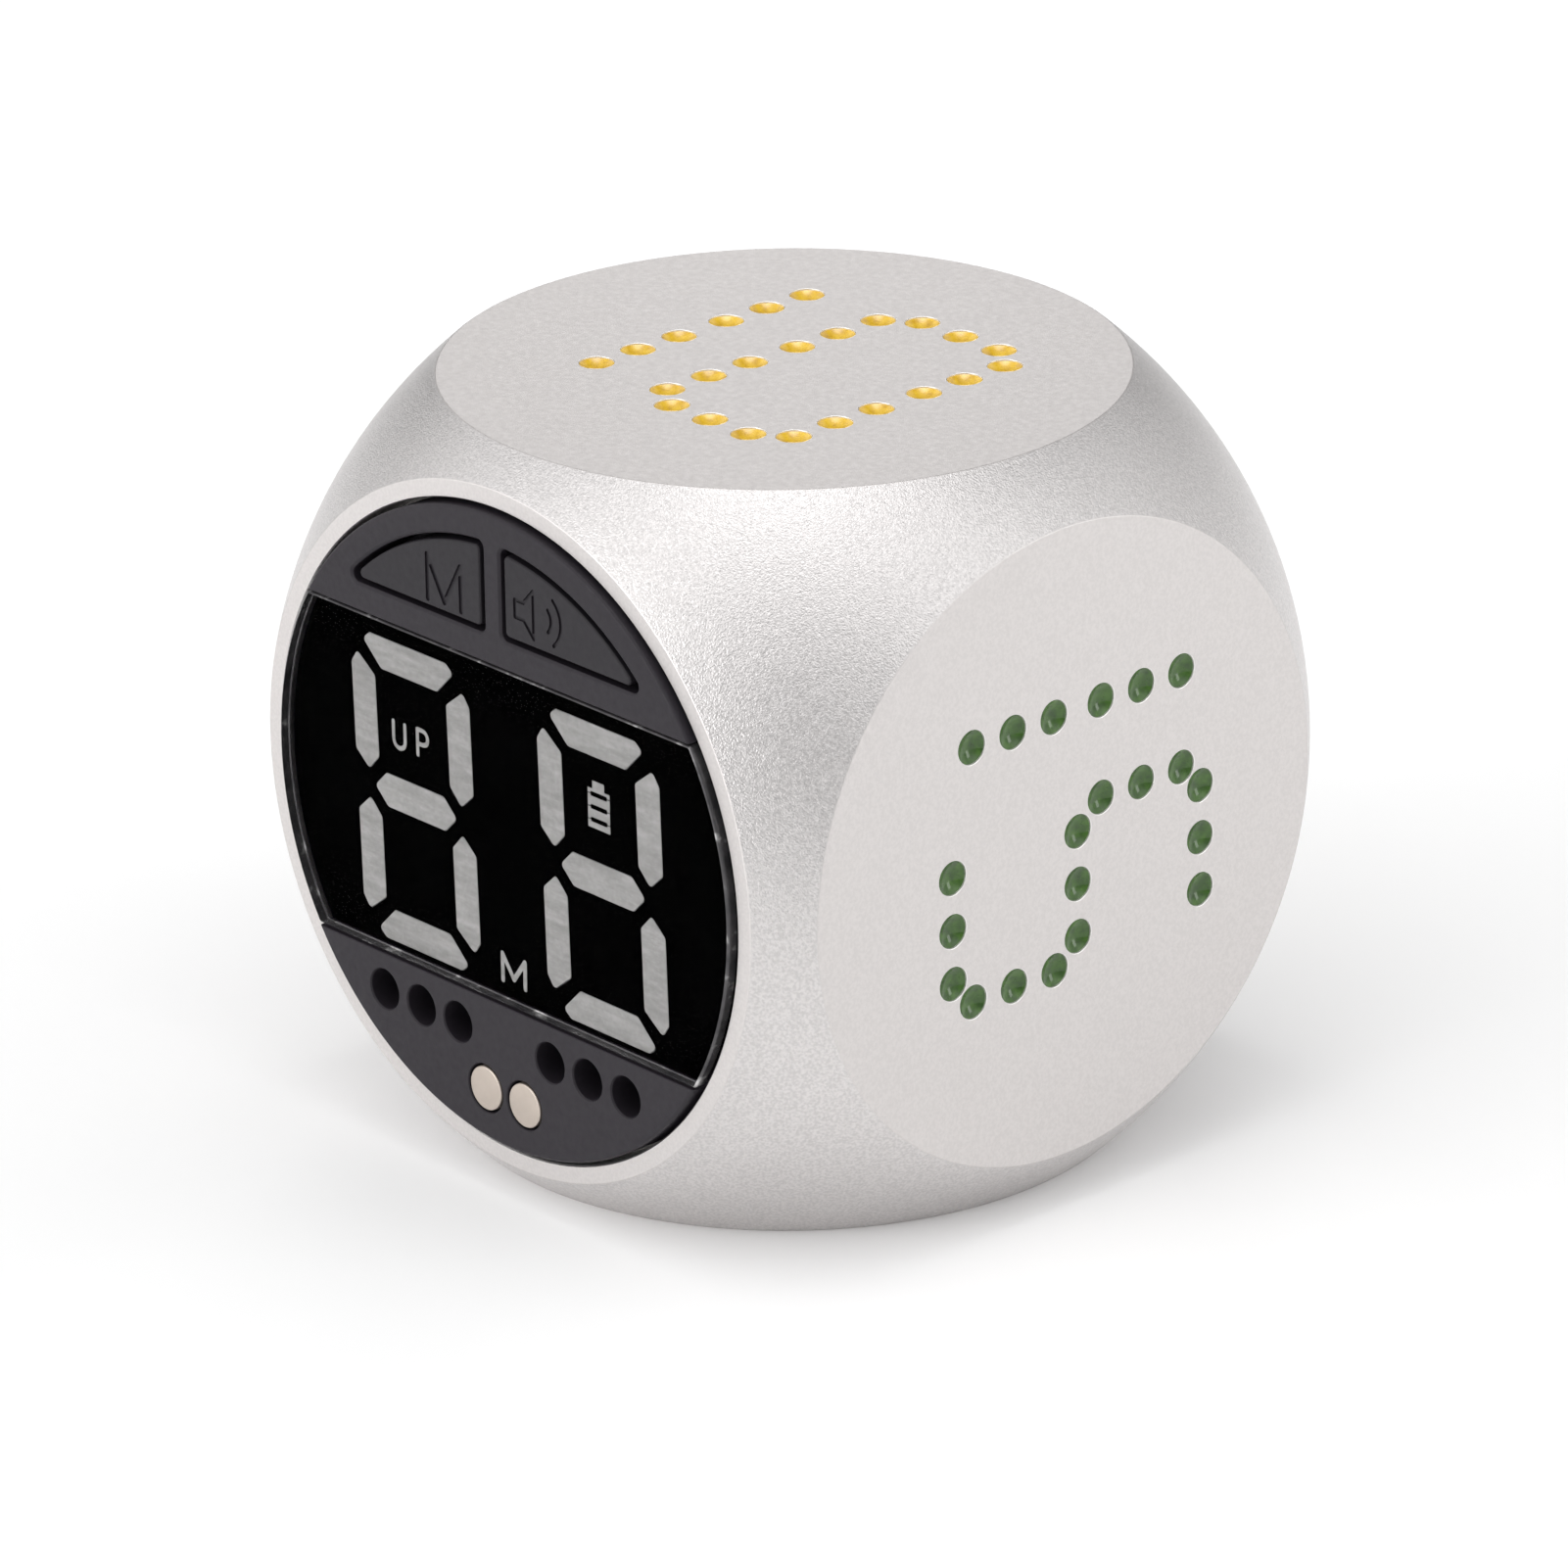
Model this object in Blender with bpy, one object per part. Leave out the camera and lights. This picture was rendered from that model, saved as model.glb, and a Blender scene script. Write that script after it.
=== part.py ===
# Cube timer: a 34 mm turned-and-milled metal shell shaped as a cube cut by a
# sphere, with a cartridge of electronics that slides in from the front.
# Units are metres in the scene; the constants below are in millimetres and
# every helper multiplies by MM.  +Z is up, the display faces -Y, and the
# origin is at the middle of the face that the timer stands on.

import bpy
import bmesh
import math
from mathutils import Matrix, Vector

MM = 0.001

# ---------------------------------------------------------------- dimensions
HALF_X = 17.0          # half width between the two side flats
BACK_Y = 17.0          # back flat
RING_Y = -16.65        # flat metal ring around the front opening
PANEL_Y = -17.0        # front of the dark panel, proud of the ring
HEIGHT = 33.0          # between the bottom and top flats
ZC = HEIGHT / 2        # height of the sphere's centre
SPHERE_R = 22.0        # sphere that rounds the cube's edges and corners
SPHERE_Y = -0.70       # its centre, a little forward of the middle

OPEN_R = 14.35         # front opening in the metal
LEDGE_Y = -14.6        # ledge that the panel's seal sits on
BORE_R = 13.4          # main bore behind the ledge
BORE_END_Y = 14.0      # inside of the back wall
BOSS_Z = 10.9          # screw bosses above and below the axis
BOSS_R = 2.0
BOSS_Y = 3.9           # front end of the bosses

DOT_R = 0.74           # painted dimples of the numbers
DOT_DEPTH = 0.34
DOT_STEP = 2.31        # between dots along an upright stroke
BAR_STEP = 2.35        # between dots along a level stroke
DOT_MID = 2.67         # wider step across the middle of a digit
DOT_BAR = 7.07         # top and bottom strokes from the middle
DOT_Y = -0.14          # the middle of every number, near the middle of the depth
HALF_W = {"0": 3.88, "1": 0.0, "3": 3.49, "5": 3.49}   # upright strokes from the digit's centre

PANEL_R = 14.15
PANEL_BACK_Y = -15.2
BAND_TOP = 7.60        # the display band in the panel, from the axis
BAND_BOTTOM = -7.70
BRIDGE_Y = -16.02      # front of the thin web behind the display band
WINDOW_X = 10.85
WINDOW_TOP = 7.05
WINDOW_BOTTOM = -7.35
POST_X = 11.9          # two posts that carry the main board
POST_R = 1.0

LENS_FRONT_Y = -16.95
LENS_BACK_Y = -16.42
MASK_FRONT_Y = -16.30
MASK_BACK_Y = -16.15
BAR_FRONT_Y = -16.07

DIGIT_X = 5.90         # digit centres
DIGIT_Z = -0.50
SEG_H = 6.95           # half height of a digit

KEY_R = 12.8           # outline of the keys' grooves
KEY_Z = 8.95
KEY_X = 0.64
KEY_GROOVE = 0.24
KEY_TRAVEL = 0.35
SWITCH_X = 4.2
SWITCH_Z = 10.2
PLUNGER_TRAVEL = 0.25

HOLE_R = 0.9           # six sound holes
HOLE_Z = -9.35
HOLE_X = (2.93, 5.28, 7.66)
PAD_X = 1.23           # two charging contacts
PAD_Z = -11.85
PAD_R = 0.98

BOARD_Y0 = -10.9
BOARD_Y1 = -9.9
BOARD_R = 13.1

MOTOR_Y = -7.4
MOTOR_Z = 8.0

# ------------------------------------------------------------------ clean up
for ob in list(bpy.data.objects):
    bpy.data.objects.remove(ob, do_unlink=True)
for old in list(bpy.data.collections):
    bpy.data.collections.remove(old)

PARTS = bpy.data.collections.new("cube_timer")
CUTTERS = bpy.data.collections.new("cutters")
bpy.context.scene.collection.children.link(PARTS)
bpy.context.scene.collection.children.link(CUTTERS)


# ----------------------------------------------------------------- materials
def make_material(name, rgb, roughness, metallic=0.0):
    mat = bpy.data.materials.new(name)
    mat.use_nodes = True
    bsdf = mat.node_tree.nodes["Principled BSDF"]
    bsdf.inputs["Base Color"].default_value = (rgb[0], rgb[1], rgb[2], 1.0)
    bsdf.inputs["Roughness"].default_value = roughness
    bsdf.inputs["Metallic"].default_value = metallic
    mat.diffuse_color = (rgb[0], rgb[1], rgb[2], 1.0)
    return mat


ALUMINIUM = make_material("bead_blasted_aluminium", (0.72, 0.71, 0.69), 0.45, 1.0)
DARK_PLASTIC = make_material("dark_grey_plastic", (0.055, 0.05, 0.055), 0.55)
KEY_PLASTIC = make_material("key_plastic", (0.06, 0.055, 0.06), 0.5)
CLEAR = make_material("clear_acrylic", (0.6, 0.62, 0.65), 0.05)
BLACK_FILM = make_material("black_film", (0.004, 0.004, 0.005), 0.3)
MILKY = make_material("milky_diffuser", (0.42, 0.42, 0.42), 0.4)
WHITE_PLASTIC = make_material("white_plastic", (0.8, 0.8, 0.78), 0.5)
LED_BODY = make_material("led_body", (0.85, 0.8, 0.6), 0.3)
BOARD_GREEN = make_material("board_green", (0.02, 0.16, 0.07), 0.4)
CHIP_BLACK = make_material("chip_black", (0.02, 0.02, 0.02), 0.5)
STEEL = make_material("steel", (0.6, 0.6, 0.6), 0.3, 1.0)
GOLD = make_material("contact_plating", (0.8, 0.76, 0.68), 0.3, 1.0)
FOIL = make_material("cell_foil", (0.6, 0.6, 0.62), 0.35, 1.0)
FOAM = make_material("foam", (0.05, 0.05, 0.05), 0.9)
MESH_CLOTH = make_material("dust_cloth", (0.02, 0.02, 0.02), 0.9)
SEAL = make_material("seal_rubber", (0.03, 0.03, 0.03), 0.7)
COPPER = make_material("coil_copper", (0.7, 0.35, 0.18), 0.35, 1.0)
RED_WIRE = make_material("red_wire", (0.5, 0.02, 0.02), 0.45)
BLACK_WIRE = make_material("black_wire", (0.02, 0.02, 0.02), 0.45)


# ------------------------------------------------------------------- helpers
def link_mesh(name, bm, mat, cutter=False):
    bmesh.ops.recalc_face_normals(bm, faces=bm.faces)
    mesh = bpy.data.meshes.new(name)
    bm.to_mesh(mesh)
    bm.free()
    ob = bpy.data.objects.new(name, mesh)
    if cutter:
        CUTTERS.objects.link(ob)
        ob.hide_render = True
        ob.display_type = "WIRE"
    else:
        PARTS.objects.link(ob)
        ob.data.materials.append(mat)
    return ob


def box(name, x0, x1, y0, y1, z0, z1, mat=None, cutter=False):
    """A box given by its faces, z from the axis of the front opening."""
    bm = bmesh.new()
    size = Vector((x1 - x0, y1 - y0, z1 - z0)) * MM
    mid = Vector(((x0 + x1) / 2, (y0 + y1) / 2, (z0 + z1) / 2 + ZC)) * MM
    bmesh.ops.create_cube(bm, size=1.0, matrix=Matrix.Translation(mid) @ Matrix.Diagonal((*size, 1.0)))
    return link_mesh(name, bm, mat, cutter)


def add_rod(bm, x, z, r, y0, y1, seg=24, r2=None):
    """A cylinder or cone along Y, added to bm."""
    mid = Vector((x, (y0 + y1) / 2, z + ZC)) * MM
    turn = Matrix.Rotation(math.radians(-90), 4, "X")
    bmesh.ops.create_cone(bm, cap_ends=True, segments=seg, radius1=r * MM,
                          radius2=(r if r2 is None else r2) * MM, depth=(y1 - y0) * MM,
                          matrix=Matrix.Translation(mid) @ turn)


def rod(name, x, z, r, y0, y1, mat=None, seg=24, cutter=False):
    bm = bmesh.new()
    add_rod(bm, x, z, r, y0, y1, seg)
    return link_mesh(name, bm, mat, cutter)


def outline(name, points, y0, y1, mat=None, cutter=False):
    """A flat plate from a closed outline of (x, z) points, from y0 to y1."""
    curve = bpy.data.curves.new(name + "_outline", "CURVE")
    curve.dimensions = "2D"
    curve.fill_mode = "BOTH"
    curve.extrude = (y1 - y0) / 2 * MM
    spline = curve.splines.new("POLY")
    spline.points.add(len(points) - 1)
    for p, (x, z) in zip(spline.points, points):
        p.co = (x * MM, z * MM, 0.0, 1.0)
    spline.use_cyclic_u = True
    guide = bpy.data.objects.new(name + "_outline", curve)
    CUTTERS.objects.link(guide)
    guide.matrix_world = (Matrix.Translation(Vector((0, (y0 + y1) / 2, ZC)) * MM)
                          @ Matrix.Rotation(math.radians(90), 4, "X"))
    bpy.context.view_layer.update()
    deps = bpy.context.evaluated_depsgraph_get()
    mesh = bpy.data.meshes.new_from_object(guide.evaluated_get(deps))
    bm = bmesh.new()
    bm.from_mesh(mesh)
    bm.transform(guide.matrix_world)
    bmesh.ops.remove_doubles(bm, verts=bm.verts, dist=1e-6)
    bpy.data.objects.remove(guide, do_unlink=True)
    bpy.data.meshes.remove(mesh)
    return link_mesh(name, bm, mat, cutter)


def boolean(target, tool, operation="DIFFERENCE"):
    mod = target.modifiers.new(operation.lower() + "_" + tool.name, "BOOLEAN")
    mod.operation = operation
    mod.solver = "EXACT"
    mod.object = tool
    return mod


def smooth(ob, angle=35.0):
    ob.data.shade_smooth()
    ob.data.set_sharp_from_angle(angle=math.radians(angle))


def set_origin(ob, x, y, z):
    """Move an object's origin without moving its mesh."""
    point = Vector((x, y, z + ZC)) * MM
    ob.data.transform(Matrix.Translation(-point))
    ob.location = point


def wire(name, points, radius, mat):
    curve = bpy.data.curves.new(name, "CURVE")
    curve.dimensions = "3D"
    curve.bevel_depth = radius * MM
    curve.bevel_resolution = 2
    curve.use_fill_caps = True
    spline = curve.splines.new("POLY")
    spline.points.add(len(points) - 1)
    for p, (x, y, z) in zip(spline.points, points):
        p.co = (x * MM, y * MM, (z + ZC) * MM, 1.0)
    ob = bpy.data.objects.new(name, curve)
    PARTS.objects.link(ob)
    ob.data.materials.append(mat)
    return ob


def arc(r, a0, a1, n):
    return [(r * math.cos(a0 + (a1 - a0) * i / n), r * math.sin(a0 + (a1 - a0) * i / n))
            for i in range(n + 1)]


# ------------------------------------------------- the dots of the numbers
STROKES = {"0": "abcdef", "1": "bc", "3": "abgcd", "5": "afgcd"}


def stroke_dots(stroke, half):
    """Three dots of one stroke of a digit, in the digit's own frame."""
    column = [DOT_MID / 2 + DOT_STEP * i for i in range(3)]
    if stroke in "agd":
        v = {"a": DOT_BAR, "g": 0.0, "d": -DOT_BAR}[stroke]
        return [(-BAR_STEP, v), (0.0, v), (BAR_STEP, v)]
    u = half if stroke in "bc" else -half
    sign = 1 if stroke in "bf" else -1
    return [(u, sign * v) for v in column]


def number_dots(layout):
    """layout is [(digit, centre of the digit)]."""
    dots = []
    for digit, centre in layout:
        for stroke in STROKES[digit]:
            dots += [(centre + u, v) for u, v in stroke_dots(stroke, HALF_W[digit])]
    return dots


FACES = {
    # name: (outward axis, reading direction, distance, layout)
    "top": ((0, 0, 1), (1, 0, 0), HEIGHT / 2, [("1", -5.70), ("0", 2.62)]),
    "right": ((1, 0, 0), (0, 0, -1), HALF_X, [("1", -5.83), ("5", 1.97)]),
    "bottom": ((0, 0, -1), (-1, 0, 0), HEIGHT / 2, [("3", -6.06), ("0", 5.65)]),
    "left": ((-1, 0, 0), (0, 0, 1), HALF_X, [("5", 0.0)]),
}


def dimple_cutter():
    bm = bmesh.new()
    overlap = 0.25
    slope = DOT_R / DOT_DEPTH
    for normal, right, dist, layout in FACES.values():
        n = Vector(normal)
        r = Vector(right)
        up = Vector((0, 1, 0))
        frame = Matrix((r, up, n)).transposed()
        if frame.determinant() < 0:
            frame = Matrix((-r, up, n)).transposed()
        depth = DOT_DEPTH + overlap
        for u, v in number_dots(layout):
            at = n * (dist + overlap - depth / 2) + r * u + up * v + Vector((0, DOT_Y, ZC))
            place = Matrix.Translation(at * MM) @ frame.to_4x4()
            bmesh.ops.create_cone(bm, cap_ends=True, segments=10, radius1=0.25 * MM,
                                  radius2=(0.25 + (DOT_R - 0.25) * depth / DOT_DEPTH) * MM,
                                  depth=depth * MM, matrix=place)
    return link_mesh("dimples", bm, None, cutter=True)


# ------------------------------------------------------------------ housing
bm = bmesh.new()
size = Vector((2 * HALF_X, BACK_Y - RING_Y, HEIGHT)) * MM
mid = Vector((0, (BACK_Y + RING_Y) / 2, ZC)) * MM
bmesh.ops.create_cube(bm, size=1.0, matrix=Matrix.Translation(mid) @ Matrix.Diagonal((*size, 1.0)))
housing = link_mesh("housing", bm, ALUMINIUM)

bm = bmesh.new()
bmesh.ops.create_uvsphere(bm, u_segments=72, v_segments=36, radius=SPHERE_R * MM,
                          matrix=Matrix.Translation(Vector((0, SPHERE_Y, ZC)) * MM)
                          @ Matrix.Rotation(math.radians(90), 4, "X"))
boolean(housing, link_mesh("sphere", bm, None, cutter=True), "INTERSECT")

boolean(housing, rod("bore", 0, 0, BORE_R, -20.0, BORE_END_Y, seg=64, cutter=True))
boolean(housing, rod("front_opening", 0, 0, OPEN_R, -20.0, LEDGE_Y, seg=64, cutter=True))
for tag, z in (("upper", BOSS_Z), ("lower", -BOSS_Z)):
    boolean(housing, rod("boss_" + tag, 0, z, BOSS_R, BOSS_Y, BORE_END_Y + 1.0, cutter=True, seg=20), "UNION")
for tag, z in (("upper", BOSS_Z), ("lower", -BOSS_Z)):
    boolean(housing, rod("boss_hole_" + tag, 0, z, 0.75, BOSS_Y - 1.0, 10.5, cutter=True, seg=12))
boolean(housing, dimple_cutter())
smooth(housing)

# -------------------------------------------------------------- front panel
panel = rod("front_panel", 0, 0, PANEL_R, PANEL_Y, PANEL_BACK_Y, DARK_PLASTIC, seg=72)
boolean(panel, box("band", -20, 20, -18.5, BRIDGE_Y, BAND_BOTTOM, BAND_TOP, cutter=True))
boolean(panel, box("window", -WINDOW_X, WINDOW_X, -18.0, -14.0, WINDOW_BOTTOM, WINDOW_TOP, cutter=True))


def key_outline(r, z, x, side, n=14):
    """Half-moon between a circle, a level line and an upright line."""
    a_low = math.asin(z / r)
    a_high = math.acos(x / r)
    pts = [(x, z)] + arc(r, a_low, a_high, n)
    return pts if side > 0 else [(-px, pz) for px, pz in reversed(pts)]


G = KEY_GROOVE / 2
for tag, side in (("mode", -1), ("sound", 1)):
    boolean(panel, outline(tag + "_key_hole", key_outline(KEY_R + G, KEY_Z - G, KEY_X - G, side),
                           -18.0, -14.5, cutter=True))
bm = bmesh.new()
for x in HOLE_X:
    for s in (-1, 1):
        add_rod(bm, s * x, HOLE_Z, HOLE_R, -18.0, -14.0, seg=16)
for s in (-1, 1):
    add_rod(bm, s * PAD_X, PAD_Z, 0.65, -16.5, -14.0, seg=12)
boolean(panel, link_mesh("sound_holes", bm, None, cutter=True))
bm = bmesh.new()
for s in (-1, 1):
    add_rod(bm, s * PAD_X, PAD_Z, PAD_R + 0.12, -18.0, -16.05, seg=20)
boolean(panel, link_mesh("contact_seats", bm, None, cutter=True))
for tag, s in (("left", -1), ("right", 1)):
    boolean(panel, rod("post_" + tag, s * POST_X, 0, POST_R, -15.6, -11.15, cutter=True, seg=16), "UNION")
bm = bmesh.new()
for s in (-1, 1):
    add_rod(bm, s * POST_X, 0, 0.62, -14.2, -10.0, seg=10)
boolean(panel, link_mesh("post_holes", bm, None, cutter=True))
smooth(panel)

# ------------------------------------------------------- seal under the rim
seal = rod("panel_seal", 0, 0, 14.15, -15.02, -14.78, SEAL, seg=48)
boolean(seal, rod("seal_inside", 0, 0, 13.5, -16.0, -14.0, cutter=True, seg=48))
smooth(seal)

# ------------------------------------------------------------ display stack
def band_outline(r, z0, z1, n=10):
    """Disc of radius r between two level lines."""
    a0 = math.asin(z0 / r)
    a1 = math.asin(z1 / r)
    right = arc(r, a0, a1, n)
    left = [(-x, z) for x, z in reversed(right)]
    return right + left


lens = outline("display_lens", band_outline(PANEL_R - 0.02, BAND_BOTTOM + 0.12, BAND_TOP - 0.12, 14),
               LENS_FRONT_Y, LENS_BACK_Y, CLEAR)


def seven_segments():
    """The seven bars of a digit as outlines round the digit's centre."""
    b = SEG_H
    top = [(-2.92, b - 0.45), (-2.45, b - 0.08), (2.45, b - 0.08), (2.92, b - 0.45),
           (1.8, b - 1.55), (-1.8, b - 1.55)]
    mid = [(-2.65, 0.0), (-1.85, 0.78), (1.85, 0.78), (2.65, 0.0), (1.85, -0.78), (-1.85, -0.78)]
    up_left = [(-3.45, b - 1.1), (-3.95, b - 1.7), (-3.95, 1.35), (-2.95, 0.6), (-2.1, 1.35), (-2.1, b - 1.95)]
    return {
        "a": top,
        "d": [(x, -z) for x, z in reversed(top)],
        "g": mid,
        "f": up_left,
        "b": [(-x, z) for x, z in reversed(up_left)],
        "e": [(x, -z) for x, z in reversed(up_left)],
        "c": [(-x, -z) for x, z in up_left],
    }


def shrink(points, d):
    """Pull a convex outline in by d along its corners' bisectors."""
    n = len(points)
    area = sum(points[i][0] * points[(i + 1) % n][1] - points[(i + 1) % n][0] * points[i][1] for i in range(n))
    sign = 1.0 if area > 0 else -1.0
    out = []
    for i in range(n):
        p, q, s = Vector(points[i - 1]), Vector(points[i]), Vector(points[(i + 1) % n])
        e0, e1 = (q - p).normalized(), (s - q).normalized()
        n0 = Vector((-e0.y, e0.x)) * sign
        n1 = Vector((-e1.y, e1.x)) * sign
        bis = (n0 + n1).normalized()
        out.append(tuple(q + bis * (d / max(0.3, bis.dot(n0)))))
    return out


SEGMENTS = seven_segments()
ICONS = [(-7.75, -5.0, 1.4, 3.0), (4.75, 6.5, 1.6, 4.05), (-1.0, 1.0, -7.15, -5.5)]

mask = outline("display_mask", band_outline(PANEL_R - 0.35, BAND_BOTTOM + 0.25, BAND_TOP - 0.25, 12),
               MASK_FRONT_Y, MASK_BACK_Y, BLACK_FILM)
diffuser = box("segment_diffuser", -10.55, 10.55, -15.0, -14.45, -7.25, 6.95, MILKY)
reflector = box("digit_reflector", -10.55, 10.55, -14.2, -11.15, -7.25, 6.95, WHITE_PLASTIC)
for side, dx in (("left", -DIGIT_X), ("right", DIGIT_X)):
    for seg, pts in SEGMENTS.items():
        here = [(x + dx, z + DIGIT_Z) for x, z in pts]
        tag = side + "_" + seg
        boolean(mask, outline("mask_" + tag, here, -17.0, -15.0, cutter=True))
        boolean(diffuser, outline("bar_" + tag, shrink(here, 0.15), BAR_FRONT_Y, -14.9, cutter=True), "UNION")
        boolean(reflector, outline("cell_" + tag, shrink(here, 0.2), -15.0, -10.5, cutter=True))
for i, (x0, x1, z0, z1) in enumerate(ICONS):
    boolean(mask, box("mask_icon_%d" % i, x0, x1, -17.0, -15.0, z0, z1, cutter=True))
    boolean(diffuser, box("bar_icon_%d" % i, x0 + 0.15, x1 - 0.15, BAR_FRONT_Y, -14.9, z0 + 0.15, z1 - 0.15, cutter=True),
            "UNION")
    boolean(reflector, box("cell_icon_%d" % i, x0 + 0.2, x1 - 0.2, -15.0, -10.5, z0 + 0.2, z1 - 0.2, cutter=True))

LED_AT = {"a": (0, SEG_H - 0.85), "d": (0, -SEG_H + 0.85), "g": (0, 0), "f": (-3.02, 3.3), "b": (3.02, 3.3),
          "e": (-3.02, -3.3), "c": (3.02, -3.3)}
for side, dx in (("left", -DIGIT_X), ("right", DIGIT_X)):
    for seg, (x, z) in LED_AT.items():
        long_x = seg in "agd"
        hx, hz = (0.5, 0.28) if long_x else (0.28, 0.5)
        box("led_%s_%s" % (side, seg), x + dx - hx, x + dx + hx, -11.6, -11.1,
            z + DIGIT_Z - hz, z + DIGIT_Z + hz, LED_BODY)

# --------------------------------------------------------------- main board
board = rod("main_board", 0, 0, BOARD_R, BOARD_Y0, BOARD_Y1, BOARD_GREEN, seg=48)
bm = bmesh.new()
for s in (-1, 1):
    add_rod(bm, s * POST_X, 0, 0.72, -12.0, -9.0, seg=12)
boolean(board, link_mesh("board_holes", bm, None, cutter=True))
smooth(board)


def screw(name, x, z, head_y, head_r, head_h, shaft_r, tip_y, mat):
    """Pan-head screw along Y: head between head_y and head_y +/- head_h."""
    lo, hi = sorted((head_y, tip_y))
    ob = rod(name, x, z, shaft_r, lo, hi, mat, seg=12)
    if tip_y < head_y:
        head = rod(name + "_head", x, z, head_r, head_y - 0.02, head_y + head_h, cutter=True, seg=16)
        slot = box(name + "_slot", x - head_r - 1, x + head_r + 1, head_y + head_h * 0.5, head_y + head_h + 1,
                   z - 0.15, z + 0.15, cutter=True)
    else:
        head = rod(name + "_head", x, z, head_r, head_y - head_h, head_y + 0.02, cutter=True, seg=16)
        slot = box(name + "_slot", x - head_r - 1, x + head_r + 1, head_y - head_h - 1, head_y - head_h * 0.5,
                   z - 0.15, z + 0.15, cutter=True)
    boolean(ob, head, "UNION")
    boolean(ob, slot)
    smooth(ob)
    return ob


screw("board_screw_left", -POST_X, 0, -9.7, 1.15, 0.8, 0.45, -13.6, STEEL)
screw("board_screw_right", POST_X, 0, -9.7, 1.15, 0.8, 0.45, -13.6, STEEL)

# --------------------------------------------------------- keys and switches
for tag, side in (("mode", -1), ("sound", 1)):
    sx = side * SWITCH_X
    key = outline(tag + "_key", key_outline(KEY_R - G, KEY_Z + G, KEY_X + G, side), PANEL_Y + 0.03, -14.45,
                  KEY_PLASTIC)
    boolean(key, outline(tag + "_key_flange", key_outline(13.2, 8.35, 0.3, side), -14.93, -14.4, cutter=True), "UNION")
    boolean(key, rod(tag + "_key_stem", sx, SWITCH_Z, 0.8, -14.7, -14.2, cutter=True, seg=16), "UNION")
    smooth(key)
    set_origin(key, sx, PANEL_Y + 0.03, SWITCH_Z)

    body = box(tag + "_switch_body", sx - 1.7, sx + 1.7, -13.2, -11.05, SWITCH_Z - 1.3, SWITCH_Z + 1.3, CHIP_BLACK)
    boolean(body, rod(tag + "_switch_well", sx, SWITCH_Z, 0.95, -14.5, -12.2, cutter=True, seg=16))
    smooth(body)
    plunger = rod(tag + "_switch_plunger", sx, SWITCH_Z, 0.75, -14.05, -12.75, WHITE_PLASTIC, seg=16)
    smooth(plunger)
    set_origin(plunger, sx, -14.05, SWITCH_Z)

# ------------------------------------------- sound path, contacts, magnets
outline("sound_mesh", [(-8.9, -8.2), (-8.9, -9.6), (-8.2, -10.35), (8.2, -10.35), (8.9, -9.6), (8.9, -8.2)],
        -14.98, -14.75, MESH_CLOTH)
for tag, s in (("left", -1), ("right", 1)):
    pin = rod("contact_" + tag, s * PAD_X, PAD_Z, PAD_R, PANEL_Y, -16.25, GOLD, seg=20)
    boolean(pin, rod("contact_stem_" + tag, s * PAD_X, PAD_Z, 0.48, -16.4, -11.1, cutter=True, seg=12), "UNION")
    smooth(pin)
    smooth(rod("magnet_" + tag, s * 3.5, -11.5, 1.2, -14.5, -12.7, STEEL, seg=20))

# --------------------------------------------- components behind the board
box("mcu_chip", -8.5, -3.5, -9.75, -8.85, -1.3, 3.7, CHIP_BLACK)
box("motion_sensor", -1.0, 1.5, -9.75, -8.85, 0.3, 2.8, CHIP_BLACK)
box("charge_chip", 4.0, 7.0, -9.75, -8.65, 2.0, 3.7, CHIP_BLACK)
box("crystal", -8.2, -5.0, -9.75, -8.95, -4.1, -2.6, STEEL)
box("battery_connector", 5.0, 9.0, -9.75, -6.75, -2.7, 0.3, WHITE_PLASTIC)

buzzer = rod("buzzer_case", 0, -6.0, 4.5, -9.7, -5.2, CHIP_BLACK, seg=32)
boolean(buzzer, rod("buzzer_inside", 0, -6.0, 4.0, -11.0, -5.9, cutter=True, seg=32))
boolean(buzzer, rod("buzzer_port", 0, -6.0, 0.9, -7.0, -4.0, cutter=True, seg=14))
smooth(buzzer)
smooth(rod("buzzer_diaphragm", 0, -6.0, 3.8, -6.9, -6.7, STEEL, seg=28))
smooth(rod("buzzer_coil", 0, -6.0, 1.7, -9.5, -7.4, COPPER, seg=20))


def rod_x(name, y, z, r, x0, x1, mat=None, seg=20, cutter=False):
    bm = bmesh.new()
    mid = Vector(((x0 + x1) / 2, y, z + ZC)) * MM
    bmesh.ops.create_cone(bm, cap_ends=True, segments=seg, radius1=r * MM, radius2=r * MM, depth=(x1 - x0) * MM,
                          matrix=Matrix.Translation(mid) @ Matrix.Rotation(math.radians(90), 4, "Y"))
    return link_mesh(name, bm, mat, cutter)


motor = rod_x("motor_can", MOTOR_Y, MOTOR_Z, 2.0, -4.5, 3.8, STEEL, seg=24)
boolean(motor, rod_x("motor_bearing", MOTOR_Y, MOTOR_Z, 0.58, -2.5, 5.0, cutter=True, seg=12))
smooth(motor)
shaft = rod_x("motor_shaft", MOTOR_Y, MOTOR_Z, 0.4, -1.8, 7.3, STEEL, seg=12)
smooth(shaft)
set_origin(shaft, 0, MOTOR_Y, MOTOR_Z)
weight = rod_x("motor_weight", MOTOR_Y, MOTOR_Z, 2.05, 4.4, 7.1, STEEL, seg=24)
boolean(weight, box("weight_cut", 3.0, 9.0, MOTOR_Y - 4, MOTOR_Y + 4, MOTOR_Z + 0.95, MOTOR_Z + 4, cutter=True))
boolean(weight, rod_x("weight_bore", MOTOR_Y, MOTOR_Z, 0.56, 3.0, 9.0, cutter=True, seg=12))
smooth(weight)
set_origin(weight, 0, MOTOR_Y, MOTOR_Z)

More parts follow.
